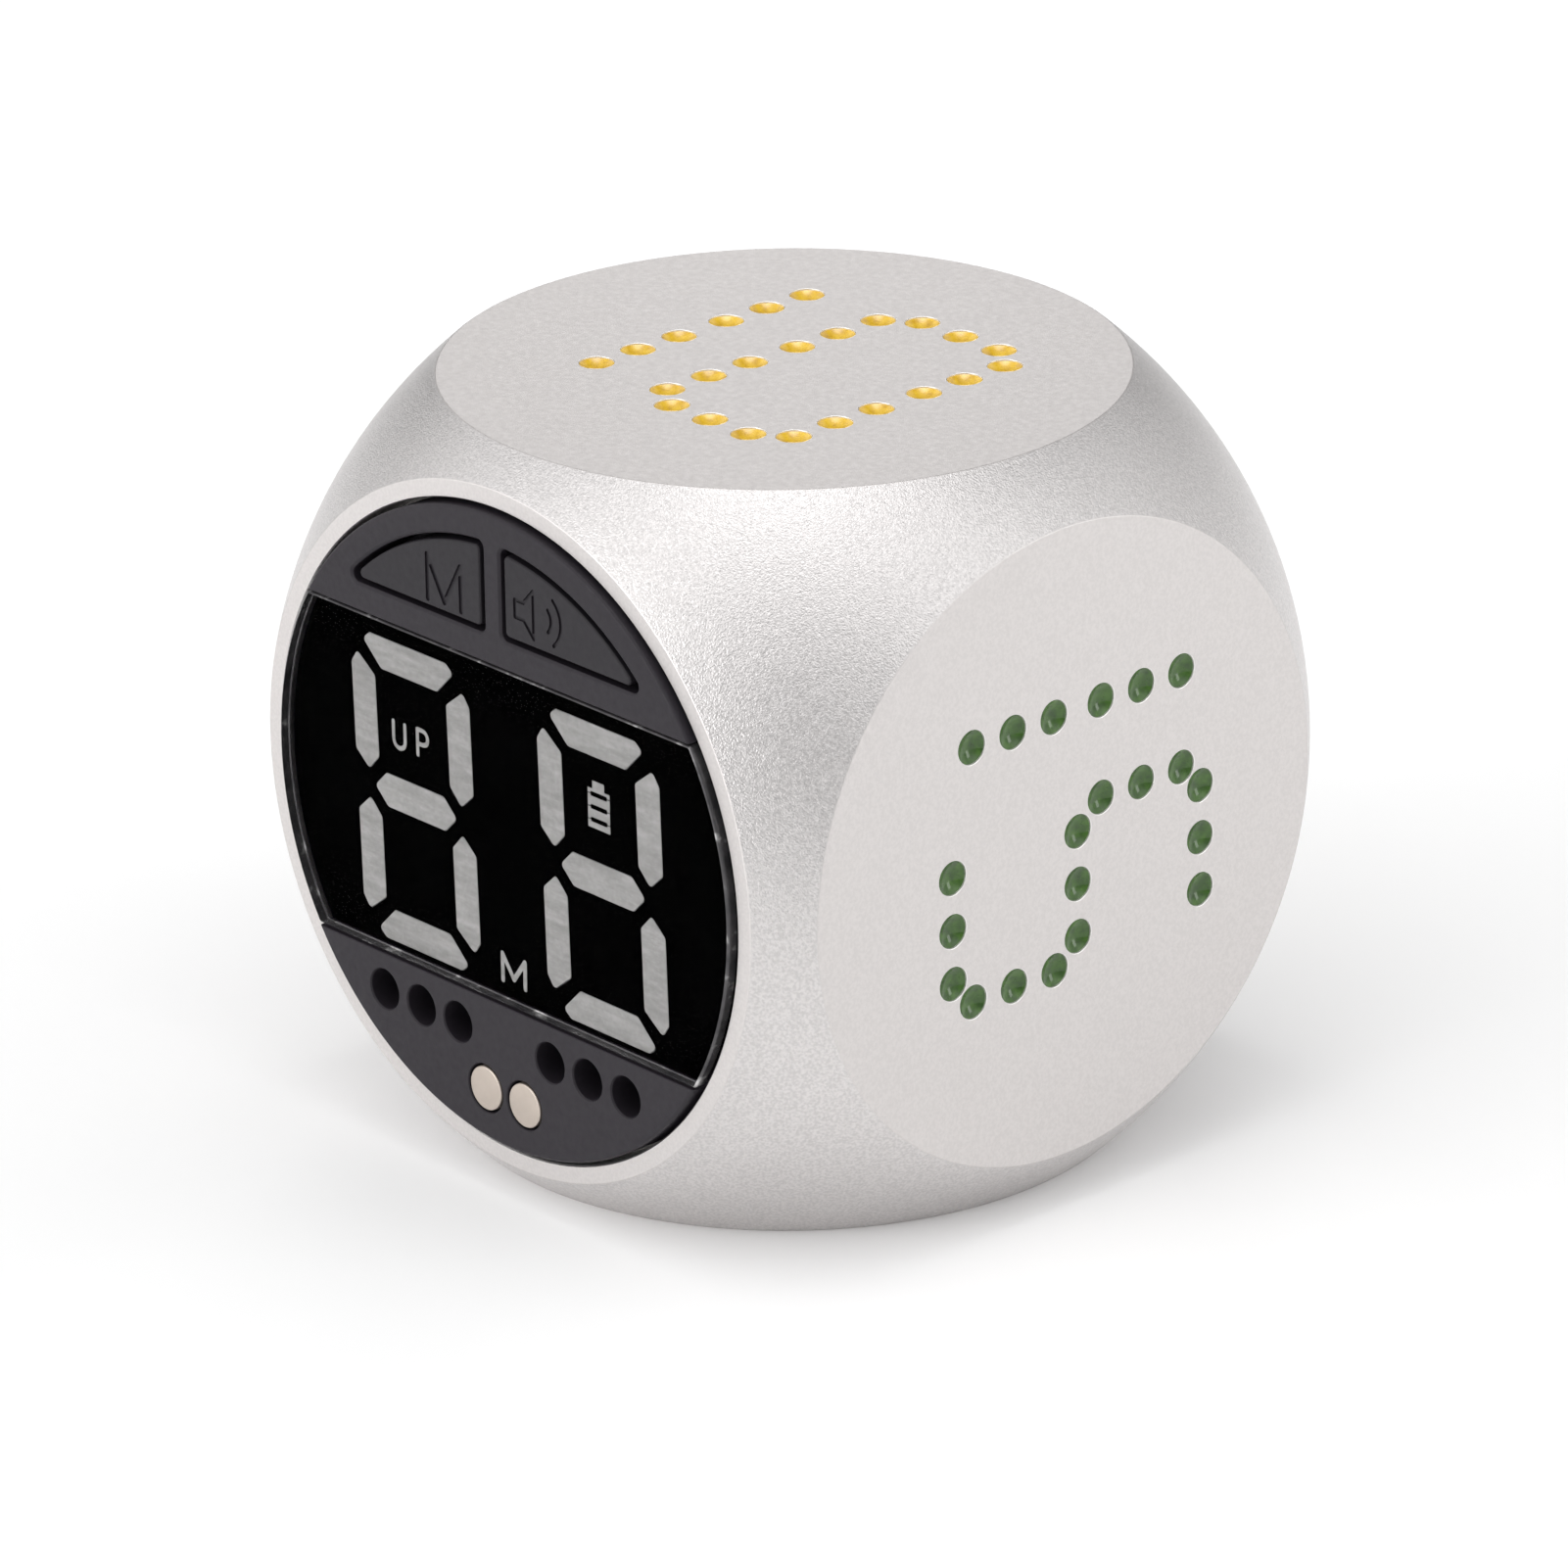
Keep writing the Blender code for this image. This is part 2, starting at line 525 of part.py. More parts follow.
# ------------------------------------------------ battery tray and battery
tray = rod("battery_tray", 0, 0, 13.1, 2.5, 3.7, WHITE_PLASTIC, seg=48)
boolean(tray, box("tray_walls", -10.2, 10.2, 3.0, 11.0, -7.9, 7.9, cutter=True), "UNION")
boolean(tray, box("tray_pocket", -9.2, 9.2, 3.7, 12.0, -6.9, 6.9, cutter=True))
bm = bmesh.new()
for s in (-1, 1):
    add_rod(bm, 0, s * BOSS_Z, 0.85, 1.0, 5.0, seg=12)
boolean(tray, link_mesh("tray_holes", bm, None, cutter=True))
boolean(tray, box("lead_slot", 7.95, 9.05, 1.0, 5.0, -3.6, -0.6, cutter=True))
smooth(tray)
box("battery_cell", -8.8, 6.5, 4.0, 12.0, -6.5, 6.5, FOIL)
box("battery_board", 6.85, 7.65, 4.8, 11.2, -5.6, 5.6, BOARD_GREEN)
box("battery_pad", -8.4, 8.4, 12.25, 13.7, -6.3, 6.3, FOAM)
screw("tray_screw_upper", 0, BOSS_Z, 2.3, 1.35, 0.9, 0.58, 8.8, STEEL)
screw("tray_screw_lower", 0, -BOSS_Z, 2.3, 1.35, 0.9, 0.58, 8.8, STEEL)


def lead_points(z_start, z_end):
    pts = [(8.5, 6.4, z_start), (8.5, 4.6, z_start), (8.5, 2.6, z_start), (8.5, 1.0, z_start)]
    for i in range(1, 8):
        t = i / 8.0
        s = t * t * (3 - 2 * t)
        pts.append((8.5 + (7.0 - 8.5) * s, 1.0 - 5.2 * t, z_start + (z_end - z_start) * s))
    return pts + [(7.0, -4.2, z_end), (7.0, -5.4, z_end), (7.0, -6.5, z_end)]


wire("battery_lead_red", lead_points(-1.4, -0.6), 0.35, RED_WIRE)
wire("battery_lead_black", lead_points(-2.8, -1.9), 0.35, BLACK_WIRE)
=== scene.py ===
import math

import bmesh
import bpy
from mathutils import Matrix, Vector


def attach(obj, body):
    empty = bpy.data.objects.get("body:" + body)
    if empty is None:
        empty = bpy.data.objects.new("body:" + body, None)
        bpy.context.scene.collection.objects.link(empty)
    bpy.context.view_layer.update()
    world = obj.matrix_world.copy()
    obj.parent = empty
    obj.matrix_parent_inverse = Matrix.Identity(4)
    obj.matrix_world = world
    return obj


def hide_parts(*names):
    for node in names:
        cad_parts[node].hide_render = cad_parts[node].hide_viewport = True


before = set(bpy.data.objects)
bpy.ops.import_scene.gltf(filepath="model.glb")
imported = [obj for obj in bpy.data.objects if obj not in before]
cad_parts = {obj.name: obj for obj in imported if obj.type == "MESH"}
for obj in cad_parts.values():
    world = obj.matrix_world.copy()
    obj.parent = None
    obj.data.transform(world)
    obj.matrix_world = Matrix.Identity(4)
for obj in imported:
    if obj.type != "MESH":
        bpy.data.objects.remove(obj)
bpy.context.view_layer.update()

MM = 0.001
ZC = 16.5            # height of the body's centre, mm

# The same driving sizes as the construction, in millimetres
HALF_X, BACK_Y, RING_Y, PANEL_Y, HEIGHT = 17.0, 17.0, -16.65, -17.0, 33.0
SPHERE_R, SPHERE_Y = 22.0, -0.70
OPEN_R, LEDGE_Y, BORE_R, BORE_END_Y = 14.35, -14.6, 13.4, 14.0
BOSS_Z, BOSS_R, BOSS_Y = 10.9, 2.0, 3.9
DOT_R, DOT_STEP, BAR_STEP, DOT_MID, DOT_BAR, DOT_Y = 0.74, 2.31, 2.35, 2.67, 7.07, -0.14
HALF_W = {"0": 3.88, "1": 0.0, "3": 3.49, "5": 3.49}
PANEL_R, PANEL_BACK_Y, BAND_TOP, BAND_BOTTOM, BRIDGE_Y = 14.15, -15.2, 7.60, -7.70, -16.02
WINDOW_X, WINDOW_TOP, WINDOW_BOTTOM, POST_X, POST_R = 10.85, 7.05, -7.35, 11.9, 1.0
DIGIT_X, DIGIT_Z, SEG_H = 5.90, -0.50, 6.95
KEY_R, KEY_Z, KEY_X, KEY_GROOVE = 12.8, 8.95, 0.64, 0.24
SWITCH_X, SWITCH_Z = 4.2, 10.2
HOLE_R, HOLE_Z, HOLE_X = 0.9, -9.35, (2.93, 5.28, 7.66)
PAD_X, PAD_Z, PAD_R = 1.23, -11.85, 0.98

TOOLS = bpy.data.collections.new("tools")


# --------------------------------------------------------------- mesh helpers
def new_object(name, bm, mats=(), flip_check=True):
    if flip_check:
        bmesh.ops.recalc_face_normals(bm, faces=bm.faces)
    me = bpy.data.meshes.new(name)
    bm.to_mesh(me)
    bm.free()
    ob = bpy.data.objects.new(name, me)
    bpy.context.scene.collection.objects.link(ob)
    for m in mats:
        me.materials.append(m)
    return ob


def lathe(bm, profile, place, seg=64):
    """Revolve a closed profile of (radius, height) round local +Z, then place it.  Millimetres."""
    rings = []
    for r, h in profile:
        if r < 1e-6:
            rings.append([bm.verts.new(place @ (Vector((0, 0, h)) * MM))])
        else:
            rings.append([bm.verts.new(place @ (Vector((r * math.cos(2 * math.pi * i / seg),
                                                        r * math.sin(2 * math.pi * i / seg), h)) * MM))
                          for i in range(seg)])
    n = len(rings)
    for k in range(n):
        a, b = rings[k], rings[(k + 1) % n]
        if len(a) == 1 and len(b) == 1:
            continue
        for i in range(seg):
            j = (i + 1) % seg
            if len(a) == 1:
                bm.faces.new((a[0], b[i], b[j]))
            elif len(b) == 1:
                bm.faces.new((a[i], b[0], a[j]))
            else:
                bm.faces.new((a[i], b[i], b[j], a[j]))


def axis_frame(axis, up=(0, 0, 1), at=(0, 0, 0)):
    """Matrix that sends local +Z to axis and the origin to a point (mm, z from the body's centre)."""
    z = Vector(axis).normalized()
    x = Vector(up).cross(z)
    if x.length < 1e-6:
        x = Vector((1, 0, 0)).cross(z)
        if x.length < 1e-6:
            x = Vector((0, 1, 0)).cross(z)
    x.normalize()
    y = z.cross(x)
    m = Matrix((x, y, z)).transposed().to_4x4()
    return Matrix.Translation(Vector((at[0], at[1], at[2] + ZC)) * MM) @ m


# local +Z points along -Y, out of the front; local X is world X, local Y is world Z
FRONT = Matrix.Translation(Vector((0, 0, ZC)) * MM) @ Matrix(((1, 0, 0, 0), (0, 0, -1, 0), (0, 1, 0, 0), (0, 0, 0, 1)))


def front_at(x, z):
    return Matrix.Translation(Vector((x, 0, z)) * MM) @ FRONT


def loft(bm, rings, place):
    """Close a stack of rings [(points, height)] into one solid."""
    layers = [[bm.verts.new(place @ (Vector((x, y, h)) * MM)) for x, y in pts] for pts, h in rings]
    n = len(layers[0])
    for a, b in zip(layers, layers[1:]):
        for i in range(n):
            j = (i + 1) % n
            bm.faces.new((a[i], a[j], b[j], b[i]))
    bm.faces.new(layers[0][::-1])
    bm.faces.new(layers[-1])


def grow(points, d, step=12.0):
    """Offset a convex counter-clockwise outline outwards by d, with round corners."""
    n = len(points)
    out = []
    for i in range(n):
        p, q, s = Vector(points[i - 1]), Vector(points[i]), Vector(points[(i + 1) % n])
        e0, e1 = (q - p).normalized(), (s - q).normalized()
        a0 = math.atan2(-e0.x, e0.y)
        a1 = math.atan2(-e1.x, e1.y)
        while a1 < a0 - 1e-9:
            a1 += 2 * math.pi
        if a1 - a0 > math.pi + 1e-6:
            a1 = a0
        k = max(0, int(math.ceil(math.degrees(a1 - a0) / step)) - 1) if a1 - a0 > math.radians(20) else 0
        if k == 0:
            half = (a0 + a1) / 2
            out.append((q.x + d * math.cos(half) / max(0.7, math.cos((a1 - a0) / 2)),
                        q.y + d * math.sin(half) / max(0.7, math.cos((a1 - a0) / 2))))
        else:
            for t in range(k + 2):
                a = a0 + (a1 - a0) * t / (k + 1)
                out.append((q.x + d * math.cos(a), q.y + d * math.sin(a)))
    return out


def ccw(points):
    area = sum(points[i][0] * points[(i + 1) % len(points)][1] - points[(i + 1) % len(points)][0] * points[i][1]
               for i in range(len(points)))
    # normals of a counter-clockwise outline point out on its right side
    return list(points) if area > 0 else list(reversed(points))


def outward(points):
    """Outline ordered so that grow() moves it outwards."""
    pts = ccw(points)
    c = Vector((sum(p[0] for p in pts) / len(pts), sum(p[1] for p in pts) / len(pts)))
    g = grow(pts, 0.01)
    far = sum((Vector(p) - c).length for p in g) / len(g)
    near = sum((Vector(p) - c).length for p in pts) / len(pts)
    return pts if far > near else list(reversed(pts))


def boolean(ob, tool, op="DIFFERENCE", self_cut=False):
    mod = ob.modifiers.new("b", "BOOLEAN")
    mod.operation, mod.solver, mod.object = op, "EXACT", tool
    mod.use_self = self_cut
    deps = bpy.context.evaluated_depsgraph_get()
    me = bpy.data.meshes.new_from_object(ob.evaluated_get(deps))
    old = ob.data
    ob.modifiers.clear()
    ob.data = me
    bpy.data.meshes.remove(old)
    td = tool.data
    bpy.data.objects.remove(tool, do_unlink=True)
    bpy.data.meshes.remove(td)


def tool_object(bm):
    return new_object("tool", bm)


def finish_shading(ob, angle=28.0, weighted=True):
    ob.data.shade_smooth()
    ob.data.set_sharp_from_angle(angle=math.radians(angle))
    if weighted:
        mod = ob.modifiers.new("even_normals", "WEIGHTED_NORMAL")
        mod.mode = "FACE_AREA"
        mod.weight = 100
        mod.keep_sharp = True


def arc(r, a0, a1, n):
    return [(r * math.cos(a0 + (a1 - a0) * i / n), r * math.sin(a0 + (a1 - a0) * i / n)) for i in range(n + 1)]


def capsule(a, b, r):
    """Stroke from a to b with round ends, counter-clockwise."""
    d = Vector(b) - Vector(a)
    t = math.atan2(d.y, d.x)
    pts = []
    for i in range(9):
        w = t - math.pi / 2 + math.pi * i / 8
        pts.append((b[0] + r * math.cos(w), b[1] + r * math.sin(w)))
    for i in range(9):
        w = t + math.pi / 2 + math.pi * i / 8
        pts.append((a[0] + r * math.cos(w), a[1] + r * math.sin(w)))
    return pts


# ------------------------------------------------------------------ materials
def srgb(r, g, b):
    def f(v):
        v /= 255.0
        return v / 12.92 if v <= 0.04045 else ((v + 0.055) / 1.055) ** 2.4
    return (f(r), f(g), f(b), 1.0)


class Nodes:
    def __init__(self, name):
        self.mat = bpy.data.materials.new(name)
        self.mat.use_nodes = True
        self.tree = self.mat.node_tree
        self.bsdf = self.tree.nodes["Principled BSDF"]
        self.coord = self.tree.nodes.new("ShaderNodeTexCoord")

    def new(self, kind, **props):
        n = self.tree.nodes.new(kind)
        for k, v in props.items():
            setattr(n, k, v)
        return n

    def link(self, a, b):
        self.tree.links.new(a, b)

    def noise(self, scale, detail=2.0, rough=0.5, stretch=None):
        n = self.new("ShaderNodeTexNoise")
        n.inputs["Scale"].default_value = scale
        n.inputs["Detail"].default_value = detail
        n.inputs["Roughness"].default_value = rough
        if stretch:
            m = self.new("ShaderNodeMapping")
            m.inputs["Scale"].default_value = stretch
            self.link(self.coord.outputs["Object"], m.inputs["Vector"])
            self.link(m.outputs["Vector"], n.inputs["Vector"])
        else:
            self.link(self.coord.outputs["Object"], n.inputs["Vector"])
        return n.outputs["Fac"]

    def voronoi(self, scale):
        n = self.new("ShaderNodeTexVoronoi")
        n.inputs["Scale"].default_value = scale
        self.link(self.coord.outputs["Object"], n.inputs["Vector"])
        return n

    def ramp(self, fac, stops):
        n = self.new("ShaderNodeValToRGB")
        el = n.color_ramp.elements
        el[0].position, el[0].color = stops[0]
        el[1].position, el[1].color = stops[-1]
        for pos, col in stops[1:-1]:
            e = el.new(pos)
            e.color = col
        self.link(fac, n.inputs["Fac"])
        return n.outputs["Color"]

    def range(self, fac, lo, hi, a=0.0, b=1.0):
        n = self.new("ShaderNodeMapRange")
        n.inputs["From Min"].default_value, n.inputs["From Max"].default_value = a, b
        n.inputs["To Min"].default_value, n.inputs["To Max"].default_value = lo, hi
        self.link(fac, n.inputs["Value"])
        return n.outputs["Result"]

    def bump(self, height, distance, strength=1.0, after=None):
        n = self.new("ShaderNodeBump")
        n.inputs["Distance"].default_value = distance
        n.inputs["Strength"].default_value = strength
        self.link(height, n.inputs["Height"])
        if after is not None:
            self.link(after, n.inputs["Normal"])
        return n.outputs["Normal"]

    def set(self, **kw):
        for k, v in kw.items():
            self.bsdf.inputs[k.replace("_", " ")].default_value = v


def varied(name, colour, spread, rough, metallic=0.0, scale=900.0, bump_scale=3000.0, bump=0.00001, rough_spread=0.06,
           **extra):
    """A surface whose colour, roughness and height all vary a little."""
    m = Nodes(name)
    fac = m.noise(scale, 4.0, 0.6)
    dark = tuple(c * (1 - spread) for c in colour[:3]) + (1.0,)
    light = tuple(min(1.0, c * (1 + spread)) for c in colour[:3]) + (1.0,)
    m.link(m.ramp(fac, [(0.3, dark), (0.7, light)]), m.bsdf.inputs["Base Color"])
    m.link(m.range(m.noise(scale * 1.7, 3.0), rough - rough_spread, rough + rough_spread, 0.3, 0.7),
           m.bsdf.inputs["Roughness"])
    m.bsdf.inputs["Metallic"].default_value = metallic
    m.link(m.bump(m.noise(bump_scale, 3.0, 0.6), bump, 0.5), m.bsdf.inputs["Normal"])
    for k, v in extra.items():
        m.bsdf.inputs[k.replace("_", " ")].default_value = v
    return m.mat


def blasted(name, colour, rough, grain, grain_scale=7500.0, spread=0.02):
    """Bead-blasted, anodised metal: fine random pits over a soft mirror."""
    m = Nodes(name)
    dark = tuple(c * (1 - spread) for c in colour[:3]) + (1.0,)
    light = tuple(min(1.0, c * (1 + spread)) for c in colour[:3]) + (1.0,)
    m.link(m.ramp(m.noise(grain_scale, 1.0, 0.5), [(0.36, dark), (0.64, light)]), m.bsdf.inputs["Base Color"])
    m.link(m.range(m.noise(grain_scale * 0.5, 3.0, 0.6), rough - 0.05, rough + 0.05, 0.3, 0.7),
           m.bsdf.inputs["Roughness"])
    m.bsdf.inputs["Metallic"].default_value = 1.0
    m.link(m.bump(m.noise(grain_scale * 1.7, 1.0, 0.5), 0.000016, grain), m.bsdf.inputs["Normal"])
    return m.mat


METAL_ROUND = blasted("metal_round", (0.657, 0.635, 0.630, 1), 0.38, 1.8, 7600.0, 0.09)
METAL_FLAT = blasted("metal_flat", (0.661, 0.634, 0.624, 1), 0.48, 0.25, 7200.0, 0.034)
# edge metal: lighter in colour than the rest, a painted glint on the dimple rims and the lip of the opening
METAL_EDGE_PAINTED_GLINT = blasted("metal_edge_painted_glint", (0.820, 0.800, 0.790, 1), 0.34, 0.08, 7600.0, 0.016)
METAL_INSIDE = blasted("metal_inside", srgb(170, 168, 166), 0.45, 0.3)


# ------------------------------------------------------------------ the shell
def convex_of_turning(low, high, seg=256):
    """Profile of a solid of turning whose two flat ends meet the sphere in a fine chamfer."""
    t = math.tan(math.radians(20))
    r0 = math.sqrt(SPHERE_R ** 2 - low ** 2) - 0.05
    r1 = math.sqrt(SPHERE_R ** 2 - high ** 2) - 0.05
    return [(0, high), (r1, high), (24.0, high - (24.0 - r1) * t), (24.0, low + (24.0 - r0) * t), (r0, low), (0, low)]


STROKES = {"0": "abcdef", "1": "bc", "3": "abgcd", "5": "afgcd"}


def stroke_dots(stroke, half):
    if stroke in "agd":
        v = {"a": DOT_BAR, "g": 0.0, "d": -DOT_BAR}[stroke]
        return [(-BAR_STEP, v), (0.0, v), (BAR_STEP, v)]
    u = half if stroke in "bc" else -half
    sign = 1 if stroke in "bf" else -1
    return [(u, sign * (DOT_MID / 2 + DOT_STEP * i)) for i in range(3)]


FACES = {
    "top": ((0, 0, 1), (1, 0, 0), HEIGHT / 2, [("1", -5.70), ("0", 2.62)]),
    "right": ((1, 0, 0), (0, 0, -1), HALF_X, [("1", -5.83), ("5", 1.97)]),
    "bottom": ((0, 0, -1), (-1, 0, 0), HEIGHT / 2, [("3", -6.06), ("0", 5.65)]),
    "left": ((-1, 0, 0), (0, 0, 1), HALF_X, [("5", 0.0)]),
}


def dot_places(face):
    normal, right, dist, layout = FACES[face]
    n, r, up = Vector(normal), Vector(right), Vector((0, 1, 0))
    spots = []
    for digit, centre in layout:
        for stroke in STROKES[digit]:
            for u, v in stroke_dots(stroke, HALF_W[digit]):
                spots.append(n * dist + r * (centre + u) + up * (v + DOT_Y))
    return n, spots


BOWL_R, BOWL_DEPTH, BOWL_RIM, RIM_FILLET = 1.0, 0.40, 0.745, 0.038


def bowl_height(r):
    return -BOWL_DEPTH + BOWL_R - math.sqrt(BOWL_R ** 2 - r ** 2)


def make_shell():
    bm = bmesh.new()
    bmesh.ops.create_icosphere(bm, subdivisions=6, radius=SPHERE_R * MM,
                               matrix=Matrix.Translation(Vector((0, SPHERE_Y, ZC)) * MM))
    shell = new_object("housing_shell", bm, [METAL_ROUND, METAL_FLAT, METAL_EDGE_PAINTED_GLINT, METAL_INSIDE])
    for axis, low, high in (((1, 0, 0), -HALF_X, HALF_X), ((0, 1, 0), RING_Y - SPHERE_Y, BACK_Y - SPHERE_Y),
                            ((0, 0, 1), -HEIGHT / 2, HEIGHT / 2)):
        bm = bmesh.new()
        lathe(bm, convex_of_turning(low, high), axis_frame(axis, at=(0, SPHERE_Y, 0)), 256)
        boolean(shell, tool_object(bm), "INTERSECT")
    bm = bmesh.new()
    lathe(bm, [(0, 20), (OPEN_R + 0.06 + 3.35, 20), (OPEN_R + 0.06, -RING_Y), (OPEN_R, -RING_Y - 0.06), (OPEN_R, -LEDGE_Y), (BORE_R, -LEDGE_Y),
               (BORE_R, -BORE_END_Y), (0, -BORE_END_Y)], FRONT, 256)
    boolean(shell, tool_object(bm))
    bm = bmesh.new()
    profile = [(0, bowl_height(0))] + [(r, bowl_height(r)) for r in (0.12, 0.24, 0.36, 0.47, 0.57, 0.67, BOWL_RIM)]
    turn = [(math.cos(math.radians(t)), math.sin(math.radians(t))) for t in (0, 30, 60, 90)]
    profile += [(BOWL_RIM + 0.002 + RIM_FILLET * (1 - c), RIM_FILLET * (s - 1)) for c, s in turn]
    profile += [(BOWL_RIM + 0.002 + RIM_FILLET, 0.06), (0, 0.06)]
    for face in FACES:
        n, spots = dot_places(face)
        for s in spots:
            lathe(bm, profile, axis_frame(n, at=s), 32)
    boolean(shell, tool_object(bm))
    for z in (BOSS_Z, -BOSS_Z):
        bm = bmesh.new()
        lathe(bm, [(0.75, -BOSS_Y), (BOSS_R - 0.15, -BOSS_Y), (BOSS_R, -BOSS_Y - 0.15), (BOSS_R, -BORE_END_Y - 0.8),
                   (0, -BORE_END_Y - 0.8), (0, -10.5), (0.75, -10.5)], front_at(0, z), 48)
        boolean(shell, tool_object(bm), "UNION")
    paint_and_normals(shell)
    return shell


def paint_and_normals(shell):
    """Give each face its finish, and each corner the true normal of its surface."""
    me = shell.data
    mm_v = [(v.co.x / MM, v.co.y / MM - SPHERE_Y, v.co.z / MM - ZC) for v in me.vertices]
    flats = [(Vector((1, 0, 0)), HALF_X), (Vector((-1, 0, 0)), HALF_X), (Vector((0, 1, 0)), BACK_Y - SPHERE_Y),
             (Vector((0, -1, 0)), -RING_Y + SPHERE_Y), (Vector((0, 0, 1)), HEIGHT / 2), (Vector((0, 0, -1)), HEIGHT / 2)]
    dots = []
    for face in FACES:
        n, spots = dot_places(face)
        dots.append((n, FACES[face][2], [sp - Vector((0, SPHERE_Y, 0)) for sp in spots]))
    normals = [None] * len(me.loops)
    for p in me.polygons:
        pts = [Vector(mm_v[i]) for i in p.vertices]
        c = sum(pts, Vector()) / len(pts)
        n = p.normal
        slot, kind = 3, None
        for axis, dist in flats:
            if n.dot(axis) > 0.9999 and abs(c.dot(axis) - dist) < 2e-3:
                slot, kind = 1, ("flat", axis)
                break
        if kind is None and c.length > SPHERE_R - 0.02 and n.dot(c.normalized()) > 0.985 \
                and all(v.length > SPHERE_R - 0.012 for v in pts):
            slot, kind = 0, ("sphere", None)
        if kind is None:
            for axis, dist in flats:
                if 0.90 < n.dot(axis) < 0.975 and all(dist - 0.08 < v.dot(axis) < dist + 2e-3 for v in pts) \
                        and c.length > SPHERE_R - 0.15:
                    slot, kind = 1, ("chamfer", axis)
                    break
        if kind is None and c.length > 14.0:
            for axis, dist, spots in dots:
                depth = c.dot(axis) - dist
                if -0.45 < depth < 0.01:
                    for s in spots:
                        off = c - s
                        flat_off = (off - axis * off.dot(axis)).length
                        if flat_off < 0.85:
                            # the dimple rims take the lighter edge metal, whose colour is a painted glint
                            if depth > bowl_height(BOWL_RIM) - 0.004 and flat_off > BOWL_RIM - 0.02:
                                slot, kind = 2, ("rim", axis, s)
                            else:
                                slot, kind = 1, ("bowl", axis, s)
                            break
                    if kind:
                        break
        # the lip of the opening takes the lighter edge metal, whose colour is a painted glint
        if kind is None and RING_Y - 0.01 < c.y + SPHERE_Y < LEDGE_Y + 0.01:
            r = math.hypot(c.x, c.z)
            if OPEN_R - 0.02 < r < OPEN_R + 0.07:
                slot = 2
        p.material_index = slot
        for li in p.loop_indices:
            v = Vector(mm_v[me.loops[li].vertex_index])
            if kind is None:
                normals[li] = n.copy()
            elif kind[0] == "flat":
                normals[li] = kind[1].copy()
            elif kind[0] == "sphere":
                normals[li] = v.normalized()
            elif kind[0] == "chamfer":
                normals[li] = v.normalized() if v.length > SPHERE_R - 0.012 else kind[1].copy()
            elif kind[0] == "bowl":
                centre = kind[2] + kind[1] * (BOWL_R - BOWL_DEPTH)
                normals[li] = (centre - v).normalized()
            else:
                off = v - kind[2]
                radial = off - kind[1] * off.dot(kind[1])
                lean = 1.0 - min(1.0, max(0.0, (radial.length - BOWL_RIM - 0.002) / RIM_FILLET))
                normals[li] = kind[1] * math.sqrt(1.0 - lean * lean) - radial.normalized() * lean
    me.shade_smooth()
    me.normals_split_custom_set(normals)


shell = make_shell()
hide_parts("housing")
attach(shell, "case")


# ------------------------------------------------------ paint in the dimples
def enamel(name, light, mid, dark, coat, coat_ior):
    """Glossy enamel whose colour varies at random between three tones."""
    m = Nodes(name)
    m.link(m.ramp(m.noise(2600.0, 3.0, 0.55), [(0.30, dark), (0.5, mid), (0.72, light)]), m.bsdf.inputs["Base Color"])
    m.link(m.range(m.noise(4200.0, 2.0), 0.26, 0.42, 0.3, 0.7), m.bsdf.inputs["Roughness"])
    m.link(m.bump(m.noise(3800.0, 3.0, 0.6), 0.000012, 0.35), m.bsdf.inputs["Normal"])
    m.bsdf.inputs["Specular IOR Level"].default_value = 0.3
    m.bsdf.inputs["Coat Weight"].default_value = coat
    m.bsdf.inputs["Coat Roughness"].default_value = 0.07
    m.bsdf.inputs["Coat IOR"].default_value = coat_ior
    return m.mat


ENAMELS = {
    "top": enamel("enamel_yellow", srgb(240, 200, 50), srgb(230, 186, 28), srgb(206, 160, 18), 1.0, 1.9),
    "right": enamel("enamel_green", srgb(66, 106, 26), srgb(50, 88, 14), srgb(36, 70, 8), 0.78, 1.5),
    "bottom": enamel("enamel_red", srgb(205, 62, 52), srgb(184, 42, 36), srgb(160, 28, 26), 0.8, 1.5),
    "left": enamel("enamel_blue", srgb(70, 120, 190), srgb(48, 98, 172), srgb(34, 78, 150), 0.8, 1.5),
}
for face in FACES:
    bm = bmesh.new()
    n, spots = dot_places(face)
    rim_r = 0.74
    top = [(r, -0.34 + 0.268 * (r / rim_r) ** 2) for r in (0.0, 0.10, 0.20, 0.30, 0.40, 0.50, 0.60, 0.68, rim_r)]
    bottom = [(r, bowl_height(r) + 0.012) for r in (0.64, 0.44, 0.22, 0.0)]
    for k, s in enumerate(spots):
        lathe(bm, top + bottom, axis_frame(n, at=s), 32)
    fill = new_object("enamel_" + face, bm, [ENAMELS[face]])
    finish_shading(fill, 40.0, False)
    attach(fill, "case")


# -------------------------------------------------------------- front panel
def key_outline(r, z, x, side, n=22):
    a_low, a_high = math.asin(z / r), math.acos(x / r)
    pts = [(x, z)] + arc(r, a_low, a_high, n)
    return pts if side > 0 else [(-px, pz) for px, pz in reversed(pts)]


